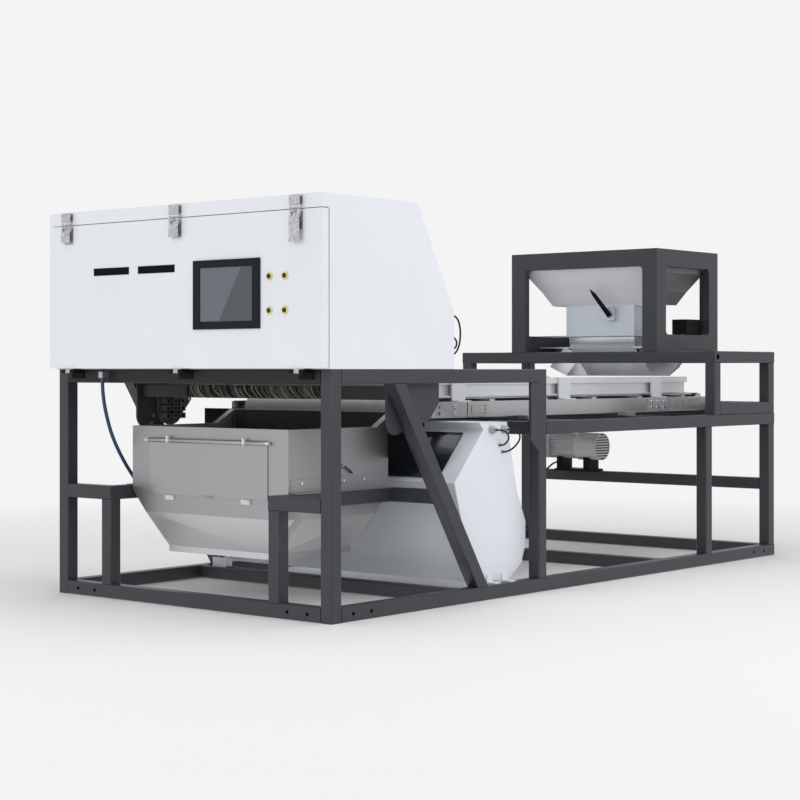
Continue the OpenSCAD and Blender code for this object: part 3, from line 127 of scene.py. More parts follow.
# Piece, route, diameter, the solid it stands for, its slot and its stiffness
CORDS = [
    ("air_hose_run", AIR_HOSE, HOSE_D, "air_hose", "hose_blue", "medium"),
    ("box_cable_front", BOX_CABLE_A, CABLE_D, "box_cables", "cable_sheath", "stiff"),
    ("box_cable_rear", BOX_CABLE_B, CABLE_D, "box_cables", "cable_sheath", "stiff"),
    ("cabinet_cable_long", CABINET_CABLE_A, CABLE_D, "cabinet_cables", "cable_sheath", "stiff"),
    ("cabinet_cable_short", CABINET_CABLE_B, CABLE_D, "cabinet_cables", "cable_sheath", "stiff"),
    ("motor_cable_run", MOTOR_CABLE, MOTOR_CABLE_D, "motor_cable", "cable_sheath", "medium"),
]


def curve_piece(name, route, diameter):
    """A round strand of the given diameter (mm) along a smooth curve through the route."""
    data = bpy.data.curves.new(name, "CURVE")
    data.dimensions = "3D"
    data.bevel_depth = diameter / 2 * MM
    data.bevel_resolution = 4
    data.resolution_u = 6
    data.use_fill_caps = True
    spline = data.splines.new("BEZIER")
    places = points(route)
    spline.bezier_points.add(len(places) - 1)
    spline.bezier_points.foreach_set("co", places.ravel())
    for knot in spline.bezier_points:
        knot.handle_left_type = knot.handle_right_type = "AUTO"
    piece = put_in_scene(bpy.data.objects.new(name, data))
    bpy.context.view_layer.update()
    return piece


def lay_cord(name, route, diameter, solid, slot, stiffness):
    """A cord that leaves the machine at the route's first point and goes back in at its last."""
    piece = curve_piece(name, route, diameter)
    piece.data.materials.append(FINISHES[slot])
    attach(piece, ROOT)
    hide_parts(solid)


# Materials
def linear(code):
    """An sRGB hex colour as linear red, green, blue and a full alpha."""
    srgb = np.array([int(code[i:i + 2], 16) for i in (1, 3, 5)]) / 255
    value = np.where(srgb <= 0.04045, srgb / 12.92, ((srgb + 0.055) / 1.055) ** 2.4)
    return (*value.tolist(), 1.0)


def node(tree, kind, links=None, **settings):
    """Adds a shader node. settings set its properties, or its sockets where the name has none;
    links maps a socket's name or number to the output that feeds it."""
    made = tree.nodes.new(kind)
    for key, value in settings.items():
        if hasattr(made, key):
            setattr(made, key, value)
        else:
            made.inputs[key.replace("_", " ")].default_value = value
    for socket, output in (links or {}).items():
        tree.links.new(output, made.inputs[socket])
    return made


def finish(name, colour, roughness, metallic=0.0, shine=0.5):
    """An empty finish: its tree, its shader and its object coordinates. shine is the strength of
    the clear reflection over the colour, 0.5 for a common lacquer."""
    material = bpy.data.materials.new(name)
    material.use_nodes = True
    tree = material.node_tree
    shader = tree.nodes["Principled BSDF"]
    shader.inputs["Base Color"].default_value = linear(colour)
    shader.inputs["Roughness"].default_value = roughness
    shader.inputs["Metallic"].default_value = metallic
    shader.inputs["Specular IOR Level"].default_value = shine
    where = node(tree, "ShaderNodeTexCoord").outputs["Object"]
    return material, tree, shader, where


def per_metre(size_mm):
    """Noise scale whose blobs are about size_mm across."""
    return 1000.0 / size_mm


def two_tone(tree, shader, pattern, dark, light, spread):
    """Colours a finish from dark to light while the pattern goes from spread below its middle
    value to spread above it."""
    ramp = node(tree, "ShaderNodeValToRGB", {"Fac": pattern})
    low, high = ramp.color_ramp.elements
    low.position, high.position = 0.5 - spread, 0.5 + spread
    low.color, high.color = linear(dark), linear(light)
    tree.links.new(ramp.outputs["Color"], shader.inputs["Base Color"])


def mottle(tree, shader, where, dark, light, size_mm, detail=4.0):
    """Clouds the colour between two hex values in blobs of size_mm, and returns the blobs."""
    blobs = node(tree, "ShaderNodeTexNoise", {"Vector": where}, Scale=per_metre(size_mm), Detail=detail)
    two_tone(tree, shader, blobs.outputs["Fac"], dark, light, 0.2)
    return blobs.outputs["Fac"]


def textured(tree, shader, pattern, rough=None, depth_mm=0.0, strength=0.5):
    """Lets a pattern move the roughness between the two values of rough, and raise the surface by
    up to depth_mm."""
    if rough:
        span = node(tree, "ShaderNodeMapRange", {"Value": pattern}, To_Min=rough[0], To_Max=rough[1])
        tree.links.new(span.outputs["Result"], shader.inputs["Roughness"])
    if depth_mm:
        relief = node(tree, "ShaderNodeBump", {"Height": pattern}, Distance=depth_mm * MM, Strength=strength)
        tree.links.new(relief.outputs["Normal"], shader.inputs["Normal"])


# Blobs of colour in paint, on plated metal and in plastic, in millimetres
DRIFT_MM = 320.0
CLOUD_MM = 14.0
STREAK_MM = 30.0


def powder_coat(name, dark, light, roughness, grain_mm, depth_mm, shine=0.5):
    """Baked powder coat: an even colour with an orange-peel grain of 1 to 3 mm that softens
    reflections. The colour drifts by a shade or two over DRIFT_MM, as hand spraying leaves it."""
    material, tree, shader, where = finish(name, dark, roughness, shine=shine)
    mottle(tree, shader, where, dark, light, DRIFT_MM, 2.0)
    peel = node(tree, "ShaderNodeTexNoise", {"Vector": where}, Scale=per_metre(grain_mm), Detail=2.0)
    textured(tree, shader, peel.outputs["Fac"], (roughness - 0.05, roughness + 0.06), depth_mm)
    return material


def brushed_sheet(name, dark, light, roughness, grain_mm, stretch, metallic=1.0):
    """Ground stainless or bright sheet: fine scratches drawn out along one axis, which spread
    the reflection across the grain. stretch gives the scratch length along X, Y and Z in grain
    widths, and metallic below 1 a sheet that is dulled, as by a protective film. The grain is
    several times coarser than a real 0.2 mm grit, so that it shows."""
    material, tree, shader, where = finish(name, light, roughness, metallic)
    grain = node(tree, "ShaderNodeMapping", {"Vector": where}, Scale=[1.0 / s for s in stretch])
    scratch = node(tree, "ShaderNodeTexNoise", {"Vector": grain.outputs["Vector"]},
                   Scale=per_metre(grain_mm), Detail=6.0, Roughness=0.65)
    two_tone(tree, shader, scratch.outputs["Fac"], dark, light, 0.25)
    textured(tree, shader, scratch.outputs["Fac"], (roughness - 0.08, roughness + 0.1), 0.02, 0.05)
    return material


def plated(name, dark, light, roughness, metallic=1.0):
    """Zinc-plated or turned steel: bright metal, faintly cloudy where the bath left it uneven."""
    material, tree, shader, where = finish(name, light, roughness, metallic)
    clouds = mottle(tree, shader, where, dark, light, CLOUD_MM)
    textured(tree, shader, clouds, (roughness - 0.08, roughness + 0.1))
    return material


def moulded(name, dark, light, roughness, grain_mm, depth_mm, shine=0.3):
    """Moulded plastic or rubber: a soft sheen broken by spark-eroded grain, which is drawn many
    times coarser than its real 0.1 mm so that it shows."""
    material, tree, shader, where = finish(name, dark, roughness, shine=shine)
    mottle(tree, shader, where, dark, light, STREAK_MM)
    grain = node(tree, "ShaderNodeTexNoise", {"Vector": where}, Scale=per_metre(grain_mm), Detail=3.0)
    textured(tree, shader, grain.outputs["Fac"], (roughness - 0.06, roughness + 0.06), depth_mm)
    return material


def recolour(material, mask, colour, blend="MIX"):
    """Blends another colour into a finish where the mask is 1."""
    tree = material.node_tree
    shader = tree.nodes["Principled BSDF"]
    coat = shader.inputs["Base Color"].links[0].from_socket
    shade = node(tree, "ShaderNodeMix", {0: mask, 6: coat}, data_type="RGBA", blend_type=blend)
    shade.inputs[7].default_value = linear(colour)
    tree.links.new(shade.outputs[2], shader.inputs["Base Color"])
    return material


def paint_side_shade(material, colour):
    """Paints shade on the faces that look sideways: another colour on those whose normal has more
    than a third of its length along X, to the left or the right."""
    tree = material.node_tree
    look = node(tree, "ShaderNodeTexCoord").outputs["Normal"]
    axis = node(tree, "ShaderNodeSeparateXYZ", {"Vector": look})
    lean = node(tree, "ShaderNodeMath", {0: axis.outputs["X"]}, operation="ABSOLUTE")
    side = node(tree, "ShaderNodeMath", {0: lean.outputs["Value"]}, operation="GREATER_THAN")
    side.inputs[1].default_value = 0.33
    return recolour(material, side.outputs["Value"], colour)


def inside(tree, low, high):
    """1 within the box between two drawing corners and 0 outside it: the distance from the box's
    middle, counted in half widths, is below 1 on all three axes."""
    low, high = points([low, high])
    where = node(tree, "ShaderNodeTexCoord").outputs["Object"]
    off = node(tree, "ShaderNodeVectorMath", {0: where}, operation="SUBTRACT")
    off.inputs[1].default_value = (low + high) / 2
    away = node(tree, "ShaderNodeVectorMath", {0: off.outputs["Vector"]}, operation="ABSOLUTE")
    share = node(tree, "ShaderNodeVectorMath", {0: away.outputs["Vector"]}, operation="DIVIDE")
    share.inputs[1].default_value = (high - low) / 2
    axis = node(tree, "ShaderNodeSeparateXYZ", {"Vector": share.outputs["Vector"]})
    flat = node(tree, "ShaderNodeMath", {0: axis.outputs["X"], 1: axis.outputs["Y"]}, operation="MAXIMUM")
    most = node(tree, "ShaderNodeMath", {0: flat.outputs["Value"], 1: axis.outputs["Z"]}, operation="MAXIMUM")
    test = node(tree, "ShaderNodeMath", {0: most.outputs["Value"]}, operation="LESS_THAN")
    test.inputs[1].default_value = 1.0
    return test.outputs["Value"]


def tint(material, box, colour, blend="MIX"):
    """Changes the colour of a finish within a box of the drawing."""
    return recolour(material, inside(material.node_tree, *box), colour, blend)


# The film on the display ends on a slanted line, at these shares of the display's width
SCREEN_X = (143.5, 442.5)
SCREEN_Z = (1194.5, 1415.5)
FILM_TOP = 0.79
FILM_FOOT = 0.36


def display_glass(name):
    """A display that is switched off under glossy glass: slate grey, with the pale left part of a
    protective film that ends on a slanted line. The line runs from FILM_TOP of the width at
    the top edge to FILM_FOOT at the bottom edge."""
    material, tree, shader, where = finish(name, "#565b62", 0.16)
    wide = (SCREEN_X[1] - SCREEN_X[0]) * MM
    tall = (SCREEN_Z[1] - SCREEN_Z[0]) * MM
    axis = node(tree, "ShaderNodeSeparateXYZ", {"Vector": where})
    lean = wide * (FILM_TOP - FILM_FOOT) / tall
    foot = SCREEN_X[0] * MM + wide * FILM_FOOT - lean * SCREEN_Z[0] * MM
    line = node(tree, "ShaderNodeMath", {0: axis.outputs["Z"]}, operation="MULTIPLY_ADD")
    line.inputs[1].default_value = lean
    line.inputs[2].default_value = foot
    left = node(tree, "ShaderNodeMath", {0: axis.outputs["X"], 1: line.outputs["Value"]}, operation="LESS_THAN")
    shade = node(tree, "ShaderNodeMix", {0: left.outputs["Value"]}, data_type="RGBA")
    shade.inputs[6].default_value = linear("#484d53")
    shade.inputs[7].default_value = linear("#5f666d")
    tree.links.new(shade.outputs[2], shader.inputs["Base Color"])
    return material


# The belt's weave, and the bands that a wave texture of scale 1 makes in a metre
WEAVE_MM = 4.737
WAVE_BANDS = 20 / (2 * math.pi)


def belt_cover(name):
    """Conveyor belt cover: matt PVC with the print of its fabric, a plain weave of WEAVE_MM pitch,
    drawn four times as coarse as its real 1.2 mm so that it shows: two waves, along X and Y,
    multiplied."""
    material, tree, shader, where = finish(name, "#b9bcbd", 0.6)
    mottle(tree, shader, where, "#b2b5b6", "#bfc2c3", 60.0)
    across, along = (node(tree, "ShaderNodeTexWave", {"Vector": where}, bands_direction=axis,
                          Scale=per_metre(WEAVE_MM) / WAVE_BANDS) for axis in ("X", "Y"))
    weave = node(tree, "ShaderNodeMath", {0: across.outputs["Fac"], 1: along.outputs["Fac"]}, operation="MULTIPLY")
    textured(tree, shader, weave.outputs["Value"], depth_mm=0.15)
    return material


# Boxes of the drawing where light and shade are painted into a solid's colour: painted shade in the
# motor cowl's recess and on the front rail, painted light on the hopper's front slope
COWL_RECESS_SHADE = ((-234.3, 3350, 430), (-233.7, 3610, 690))
FRONT_RAIL_SHADE = ((-760, -2, 938), (760, 62, 1002))
FRONT_SLOPE_LIGHT = ((-480, 118, 100), (480, 186, 378))

LEVEL_GRAIN = (60, 60, 1)
BEAM_GRAIN = (1, 80, 1)
BAR_GRAIN = (1, 90, 1)

FINISHES = {
    # Satin dark grey that shows the tube's edges as lighter lines
    "frame_paint": powder_coat("anthracite_powder_coat", "#33353a", "#383a3f", 0.42, 1.6, 0.06, 0.35),
    # Cool white sheet, bright but never blown out
    "cabinet_paint": powder_coat("cool_white_powder_coat", "#e3e6ec", "#e6e9ef", 0.34, 1.8, 0.03),
    # The same white, a little cooler and duller on the optical box
    "box_paint": powder_coat("white_powder_coat", "#e0e4ec", "#e4e8ef", 0.38, 1.8, 0.03),
    # Deep black sheet behind the hopper and the nozzles
    "black_paint": powder_coat("black_powder_coat", "#111214", "#161719", 0.55, 1.4, 0.05, 0.08),
    # Ground stainless steel with long level scratches
    "stainless_sheet": brushed_sheet("brushed_stainless_sheet", "#a1a1a4", "#aaabad", 0.3, 0.9, LEVEL_GRAIN),
    # Bright folded sheet, with its scratches along the belt
    "conveyor_steel": brushed_sheet("bright_sheet_steel", "#acaeb1", "#bcbec0", 0.34, 1.0, BEAM_GRAIN),
    # Grey plating with a soft shine
    "zinc_steel": plated("zinc_plated_steel", "#b0b1b3", "#bbbcbe", 0.42),
    # Smoother and darker steel of the rollers
    "roller_steel": plated("turned_steel", "#94979c", "#a5a8ac", 0.3),
    # Silky pale bars that scatter more light than bare metal
    "aluminium_section": brushed_sheet("anodised_aluminium", "#cfd1d4", "#dddfe1", 0.4, 0.8, BAR_GRAIN, 0.6),
    # Silver enamel, with painted shade: the floor of the cowl's recess is painted dark for the shade behind the
    # guard's bars
    "motor_paint": tint(powder_coat("silver_enamel_recess_shade", "#cbccce", "#d4d5d7", 0.36, 3.0, 0.08),
                        COWL_RECESS_SHADE, "#26272a"),
    # Dull black with hardly any shine
    "black_plastic": moulded("black_moulded_plastic", "#0d0e10", "#131416", 0.55, 0.9, 0.05, 0.04),
    # Blue-black surround of the display
    "bezel_plastic": moulded("slate_moulded_plastic", "#1b1e25", "#20232b", 0.45, 0.8, 0.03, 0.08),
    # Glossy slate with the pale corner of its film
    "screen_glass": display_glass("display_glass"),
    # Smooth dark pane that mirrors what stands before it
    "window_tint": moulded("dark_tinted_pane", "#1d2126", "#23272d", 0.14, 40.0, 0.01, 0.5),
    # Pale brass that glows a little against the white door
    "brass_ring": plated("polished_brass", "#d3c587", "#e8dfae", 0.3, 0.8),
    # Smoked caps, nearly black with a warm cast
    "button_cap": moulded("smoked_plastic", "#2b2517", "#383021", 0.25, 2.0, 0.01),
    # Matt pale belt
    "belt_rubber": belt_cover("pale_belt_cover"),
    # Dry black rubber
    "mount_rubber": moulded("black_rubber", "#121315", "#191a1c", 0.66, 1.2, 0.08),
    # Smooth deep blue hose with a narrow highlight
    "hose_blue": moulded("blue_polyurethane_hose", "#2b3f68", "#364a74", 0.3, 6.0, 0.02),
    # Black sheath of the cables
    "cable_sheath": moulded("black_cable_sheath", "#0e0f11", "#151618", 0.5, 1.0, 0.04),
}

# Spangled zinc: coarse pale crystals that break up the shine of the latches
SPANGLED_ZINC = plated("spangled_zinc", "#a3a3a6", "#cfcfd0", 0.5, 0.5)

# Solids that look different from the rest of their slot
OWN_LOOK = {
    # Frame paint, with painted shade: the front rail under the door is painted black for the shade under the cabinet
    "top_rails": tint(powder_coat("anthracite_rails_shade", "#33353a", "#383a3f", 0.42, 1.6, 0.06, 0.35),
                      FRONT_RAIL_SHADE, "#0b0c0f"),
    # Ground stainless steel, with painted light: the front slope below the bend is painted brighter than the front,
    # for the light it gets from the floor
    "discharge_hopper": tint(brushed_sheet("hopper_sheet_slope_light", "#9c9c9f", "#a6a7a9", 0.42, 0.9, LEVEL_GRAIN),
                             FRONT_SLOPE_LIGHT, "#828284", "ADD"),
    "latch_left": SPANGLED_ZINC,
    "latch_middle": SPANGLED_ZINC,
    "latch_right": SPANGLED_ZINC,
    # Black anodised block behind the wires
    "valve_bank": powder_coat("black_anodised_block", "#1b1c1e", "#232427", 0.45, 1.2, 0.03, 0.4),
    # Grey chain links that catch the light on their edges
    "cable_carrier": moulded("grey_chain_plastic", "#4b4c4e", "#5a5b5d", 0.5, 2.0, 0.05),
    # Sheet that still wears its dull film, so it stays light where bare steel would mirror the
    # frame. The funnel's sides get painted shade: the faces that look left and right are darker
    "funnel": paint_side_shade(brushed_sheet("filmed_sheet_side_shade", "#e7e8ec", "#eff0f3", 0.48, 0.9, LEVEL_GRAIN, 0.3),
                         "#66676a"),
    # The same film on a cooler casing
    "throat_housing": brushed_sheet("filmed_casing", "#c3cad3", "#d3d9e0", 0.4, 0.9, LEVEL_GRAIN, 0.4),
    # A thinner film, through which the pan shines more
    "feeder_pan": brushed_sheet("filmed_pan", "#dddfe2", "#e9eaec", 0.34, 0.9, LEVEL_GRAIN, 0.7),
    # Drawn rod, brighter than the sheet behind it
    "hinge_rod": plated("drawn_bright_rod", "#d2d3d5", "#dcdddf", 0.45, 0.15),
    # Bright bolt heads that stand out from the plates
    "frame_bolts": plated("bright_bolts", "#d6d7d9", "#e4e5e6", 0.22),
}

# Edge rounds in millimetres, where they differ from the common one
COMMON_EDGE_MM = 0.8
EDGE_MM = {
    "cabinet_shell": 1.4, "front_door": 0.3, "hopper_frame": 1.5, "touch_bezel": 1.5, "lower_box": 1.4,
    "touch_screen": 0.3, "slot_plates": 0.5, "door_fittings": 0.5, "button_rings": 0.3,
    "frame_posts": 0.6, "bottom_rails": 0.6, "top_rails": 0.6,
}
# Corners this close are one corner, and edges sharper than this many degrees are rounded
WELD_MM = 0.01
SHARP_EDGE = 40


def dress_solids():
    """Gives every solid its finish by the record's slot, and softens its edges: loose triangles
    are welded and the sharp edges get a small round of a few tenths to a few millimetres."""
    slots = {row["node"]: row["material_slot"] for row in frame["record"]["subparts"]}
    for name, piece in frame["nodes"].items():
        piece.data.materials.clear()
        piece.data.materials.append(OWN_LOOK.get(name, FINISHES[slots[name]]))
        weld = piece.modifiers.new("weld", "WELD")
        weld.merge_threshold = WELD_MM * MM
        edge = piece.modifiers.new("edge_round", "BEVEL")
        edge.width = EDGE_MM.get(name, COMMON_EDGE_MM) * MM
        edge.segments = 2
        edge.limit_method = "ANGLE"
        edge.angle_limit = math.radians(SHARP_EDGE)


# Small pieces that the solids leave out. Each axis is given by where its own X, Y and Z point.
AXES = {
    "x": np.array([(0, 1, 0), (0, 0, 1), (1, 0, 0)], float),
    "-y": np.array([(1, 0, 0), (0, 0, 1), (0, -1, 0)], float),
    "y": np.array([(0, 0, 1), (1, 0, 0), (0, 1, 0)], float),
}


# Edges flatter than this many degrees look smooth
SMOOTH_EDGE = 35


def add_piece(name, vertices, faces, look, body=ROOT, smooth=True):
    """A mesh from an array of drawing points in millimetres and lists of corner numbers."""
    mesh = bpy.data.meshes.new(name)
    mesh.from_pydata(points(vertices.reshape(-1, 3)).tolist(), [], faces)
    mesh.materials.append(look)
    made = put_in_scene(bpy.data.objects.new(name, mesh))
    if smooth:
        mesh.shade_smooth()
        mesh.set_sharp_from_angle(angle=math.radians(SMOOTH_EDGE))
    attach(made, body)
    return made


def ring_faces(count, rows, sides):
    """Corner numbers of count forms, each of which is rows rings of sides points: quads from
    ring to ring, and one flat face on each end."""
    k = np.arange(sides)
    after = (k + 1) % sides
    first = (np.arange(count)[:, None, None] * rows + np.arange(rows - 1)[None, :, None]) * sides
    quads = np.stack([first + k, first + after, first + sides + after, first + sides + k], -1)
    start = np.arange(count)[:, None] * rows * sides
    ends = np.vstack([start + k[::-1], start + (rows - 1) * sides + k])
    return quads.reshape(-1, 4).tolist() + ends.tolist()


# A direction that no strand follows, from which its rings are squared
OFF_PATH = (1.0, 0.2, 0.1)


def strands(name, centres, radius, look, sides=6):
    """Round strands: at each point of a path stands a ring of the given radius, square to the
    path, and the rings are joined along it. centres holds the paths, in millimetres."""
    along = np.gradient(centres, axis=1)
    along /= np.linalg.norm(along, axis=2, keepdims=True)
    side = np.cross(along, OFF_PATH)
    side /= np.linalg.norm(side, axis=2, keepdims=True)
    up = np.cross(along, side)
    turn = np.arange(sides) * 2 * np.pi / sides
    ring = side[:, :, None] * np.cos(turn)[:, None] + up[:, :, None] * np.sin(turn)[:, None]
    vertices = centres[:, :, None] + radius * ring
    return add_piece(name, vertices, ring_faces(*centres.shape[:2], sides), look)


def turned(name, profile, places, axis, look, sides=24):
    """Turned pieces, one at each place: rows of (radius, height) turned about an axis of AXES."""
    radius, height = np.array(profile, float).T
    turn = np.arange(sides) * 2 * np.pi / sides
    flat = np.stack([np.outer(radius, np.cos(turn)), np.outer(radius, np.sin(turn)),
                     np.outer(height, np.ones(sides))], -1)
    vertices = np.array(places, float)[:, None, None] + flat @ AXES[axis]
    return add_piece(name, vertices, ring_faces(len(places), len(profile), sides), look)


BLOCK_CORNERS = np.array([(0, 0, 0), (1, 0, 0), (1, 1, 0), (0, 1, 0),
                          (0, 0, 1), (1, 0, 1), (1, 1, 1), (0, 1, 1)], float)
BLOCK_SIDES = np.array([(3, 2, 1, 0), (4, 5, 6, 7), (0, 1, 5, 4), (1, 2, 6, 5), (2, 3, 7, 6), (3, 0, 4, 7)])
BLOCK_EDGE_MM = 0.6


def blocks(name, lows, highs, look, body=ROOT, eased=True):
    """Flat-sided plates and bars between low and high corners: each corner is the low one plus 0
    or 1 times the way to the high one on every axis. Eased ones get a small round on the edges."""
    low, high = np.array(lows, float)[:, None], np.array(highs, float)[:, None]
    vertices = low + (high - low) * BLOCK_CORNERS
    faces = (np.arange(len(lows))[:, None, None] * 8 + BLOCK_SIDES).reshape(-1, 4).tolist()
    made = add_piece(name, vertices, faces, look, body, False)
    if eased:
        edge = made.modifiers.new("edge_round", "BEVEL")
        edge.width = BLOCK_EDGE_MM * MM
        edge.segments = 2


# The path of a valve wire, as rows of Y and Z, from the top of the block to its bottom
WIRE_ROWS = np.array([
    (431, 927.6), (404, 928.2), (397, 927.4), (392.5, 921), (390, 912), (389, 899), (390, 887),
    (392.5, 880), (397, 874.6), (404, 873.8), (431, 873.6),
])
WIRE_TOP_Z = 928
WIRE_DROP = 54
WIRE_X = (-384, 404)
WIRE_R = 1.5
# Colours of the sheaths, and how many wires have each
WIRES = {
    "black": ("#141517", "#1e1f21", 44), "grey": ("#77777a", "#8a8a8c", 38), "olive": ("#5c6a4a", "#6d7b58", 28),
    "brown": ("#6a5048", "#7a5f55", 22), "straw": ("#b8b08c", "#c9c19c", 18),
}


def valve_wires():
    """Wires of the air valves: each leaves the block above a valve, hangs over its face while it
    leans about 46 mm to the right, and goes back into the block below. The lean grows evenly with
    the drop, the sag forwards as half a sine wave, and starts, leans and sags vary at random."""
    counts = [row[2] for row in WIRES.values()]
    total = sum(counts)
    chance = np.random.default_rng(11)
    starts = np.linspace(*WIRE_X, total) + chance.uniform(-3, 3, total)
    lean = np.clip((WIRE_TOP_Z - WIRE_ROWS[:, 1]) / WIRE_DROP, 0, 1)
    x = starts[:, None] + lean * chance.uniform(34, 58, (total, 1))
    y = WIRE_ROWS[:, 0] - np.sin(lean * np.pi) * chance.uniform(0, 9, (total, 1))
    paths = np.stack([x, y, np.broadcast_to(WIRE_ROWS[:, 1], x.shape)], -1)
    share = np.repeat(np.arange(len(WIRES)), counts)
    chance.shuffle(share)
    for number, (colour, (dark, light, _)) in enumerate(WIRES.items()):
        # Thin plastic sheath with a soft shine
        sheath = moulded("wire_sheath_" + colour, dark, light, 0.45, 4.0, 0.01)
        strands("valve_wires_" + colour, paths[share == number], WIRE_R, sheath)


# Bolts of the right beam: the faces of its front and rear plates, and the places along it
BOLT_Z = (802, 832)
FRONT_BOLTS = [(515, y, z) for y in (1050, 1170) for z in BOLT_Z]
REAR_BOLTS = [(518, y, z) for y in (2810, 2870, 2930) for z in BOLT_Z]
BOLT_HEAD_H = 6


def bolt_details():
    """Washers under the bolt heads of the beam plates, and painted shade for the hexagon sockets in
    the heads: a thin black hexagon on each.
    """
    bolts = FRONT_BOLTS + REAR_BOLTS
    washer = [(9.2, 0), (14, 0), (14, 1.5), (9.2, 1.5)]
    turned("beam_washers", washer, bolts, "x", FINISHES["zinc_steel"])
    # Painted shade: a black hexagon 0.3 mm thick on each head stands for the hollow of its socket
    socket = [(4.2, 0), (4.2, 0.3)]
    heads = [(x + BOLT_HEAD_H, y, z) for x, y, z in bolts]
    turned("beam_socket_shade", socket, heads, "x", FINISHES["black_plastic"], sides=6)


LID_LOW = (-641, 3354, 500)
LID_HIGH = (-551, 3360, 614)
LID_SCREW_INSET = 9


def terminal_lid():
    """The lid of the motor's terminal box with a screw in each corner."""
    blocks("terminal_lid", [LID_LOW], [LID_HIGH], FINISHES["motor_paint"])
    corners = [(x, LID_LOW[1], z) for x in (LID_LOW[0] + LID_SCREW_INSET, LID_HIGH[0] - LID_SCREW_INSET)
               for z in (LID_LOW[2] + LID_SCREW_INSET, LID_HIGH[2] - LID_SCREW_INSET)]
    screw = [(4.5, 0), (4.5, 2.2), (3.2, 3)]
    turned("lid_screws", screw, corners, "-y", OWN_LOOK["frame_bolts"], sides=16)


def cable_boots():
    """Ribbed boots where the cabinet's cables leave their glands: a sleeve that tapers in three steps."""
    boot = [(4.3, 0), (7.5, 0), (7.5, 5), (6.4, 6), (6.4, 10), (5.6, 11), (5.6, 15), (4.3, 15)]
    ends = [(790, 792.4, z) for z in (1228, 1062, 1134, 1086)]
    turned("cable_boots", boot, ends, "y", FINISHES["black_plastic"], sides=20)


# The cable carrier's outer face, the middle of its links and their pitch
CARRIER_X = -704
LINK_Y, LINK_Z = 604, 783
LINK_PITCH_Y, LINK_PITCH_Z = 46, 34


def carrier_pins():
    """Pin heads on the links of the cable carrier, one in the middle of each link's face."""
    heads = [(CARRIER_X, LINK_Y + LINK_PITCH_Y * i, LINK_Z + LINK_PITCH_Z * j) for i in (-1, 0, 1) for j in range(4)]
    pin = [(7, 0), (7, 1.2), (5.5, 2.2)]
    turned("carrier_pins", pin, heads, "x", FINISHES["black_plastic"], sides=18)


CATCH_ROD = [(478, 452, 595), (479, 466, 588), (479, 484, 577), (478, 502, 566), (476, 514, 559)]
CATCH_STUD_AT = (470.2, 454, 594)


def hopper_catch():
    """The small dark catch on the right side of the discharge hopper: a bent rod on a stud."""
    strands("hopper_catch_rod", np.array([CATCH_ROD], float), 3.0,
            FINISHES["black_plastic"], sides=10)
    stud = [(6, 0), (6, 9), (4.5, 11)]
    turned("hopper_catch_stud", stud, [CATCH_STUD_AT], "x", FINISHES["zinc_steel"], sides=18)


# Draw latches: their middles, the front of their bails, and half the width of their plates
LATCH_X = (-688, 0, 688)
BAIL_FRONT_Y = -72.1
LATCH_HALF_W = 28
LEVER_FOOT_Z = {"left": 1556, "middle": 1550, "right": 1500}


def latch_cover(name, middles, half_w, front_y, z, look):
    """Upright plates or bars that lie on the bails, one at each middle, and go with the door."""
    blocks(name, [(x - half_w, front_y, z[0]) for x in middles],
           [(x + half_w, BAIL_FRONT_Y, z[1]) for x in middles], look, "door")


def latch_plates():
    """Plain cover plates of the draw latches: one over each bail, two cheeks beside each lever's
    pin and one plate on each lever, with a bright bar across the seam of the door. Plates,
    cheeks and bars go with the door, and the levers' plates turn clear of them."""
    cheeks = [x + side for x in LATCH_X for side in (-22, 22)]
    latch_cover("bail_plates", LATCH_X, LATCH_HALF_W, -74.2, (1646, 1684), SPANGLED_ZINC)
    latch_cover("latch_cheeks", cheeks, 6, -74.2, (1593, 1629), SPANGLED_ZINC)
    latch_cover("seam_bars", LATCH_X, 31, -76.2, (1637, 1643), OWN_LOOK["frame_bolts"])
    for x, (side, foot) in zip(LATCH_X, LEVER_FOOT_Z.items()):
        blocks("lever_plate_" + side, [(x - LATCH_HALF_W, -75.4, foot)], [(x + LATCH_HALF_W, -73.2, 1590)],
               SPANGLED_ZINC, "latch_" + side + "_body")


def hopper_lining():
    """The black lining on the inside of the discharge hopper's rear wall, a thin flat sheet."""
    # Dull sheet rubber, warm black
    rubber = moulded("lining_rubber", "#1d1d1b", "#292926", 0.5, 3.0, 0.05)
    blocks("hopper_lining", [(-465, 752.4, 560)], [(465, 753.8, 813)], rubber, eased=False)


SIDE_X = 820
GASKET_Y = (-15.8, -12.8)
GASKET_Z = (1003, 1630)
GASKET_PROUD = 0.5


def door_gasket():
    """The grey edge of the door's seal, which shows as a thin line on both sides of the cabinet."""
    # Dry grey rubber without a highlight
    rubber = moulded("grey_gasket", "#5f6166", "#6c6e73", 0.6, 1.2, 0.03)
    lows = [(x, GASKET_Y[0], GASKET_Z[0]) for x in (SIDE_X, -SIDE_X - GASKET_PROUD)]
    highs = [(x, GASKET_Y[1], GASKET_Z[1]) for x in (SIDE_X + GASKET_PROUD, -SIDE_X)]
    blocks("door_gasket", lows, highs, rubber, eased=False)


# Studio: a pale floor that fades out, a white surround and large soft lamps. Sizes in metres.
FLOOR_RADIUS = 9.0
FLOOR_RINGS, FLOOR_SIDES = 11, 64
FADE_FROM, FADE_TO = 2.2, 5.5
PALE = "#f4f4f4"
AMBIENT = 0.78


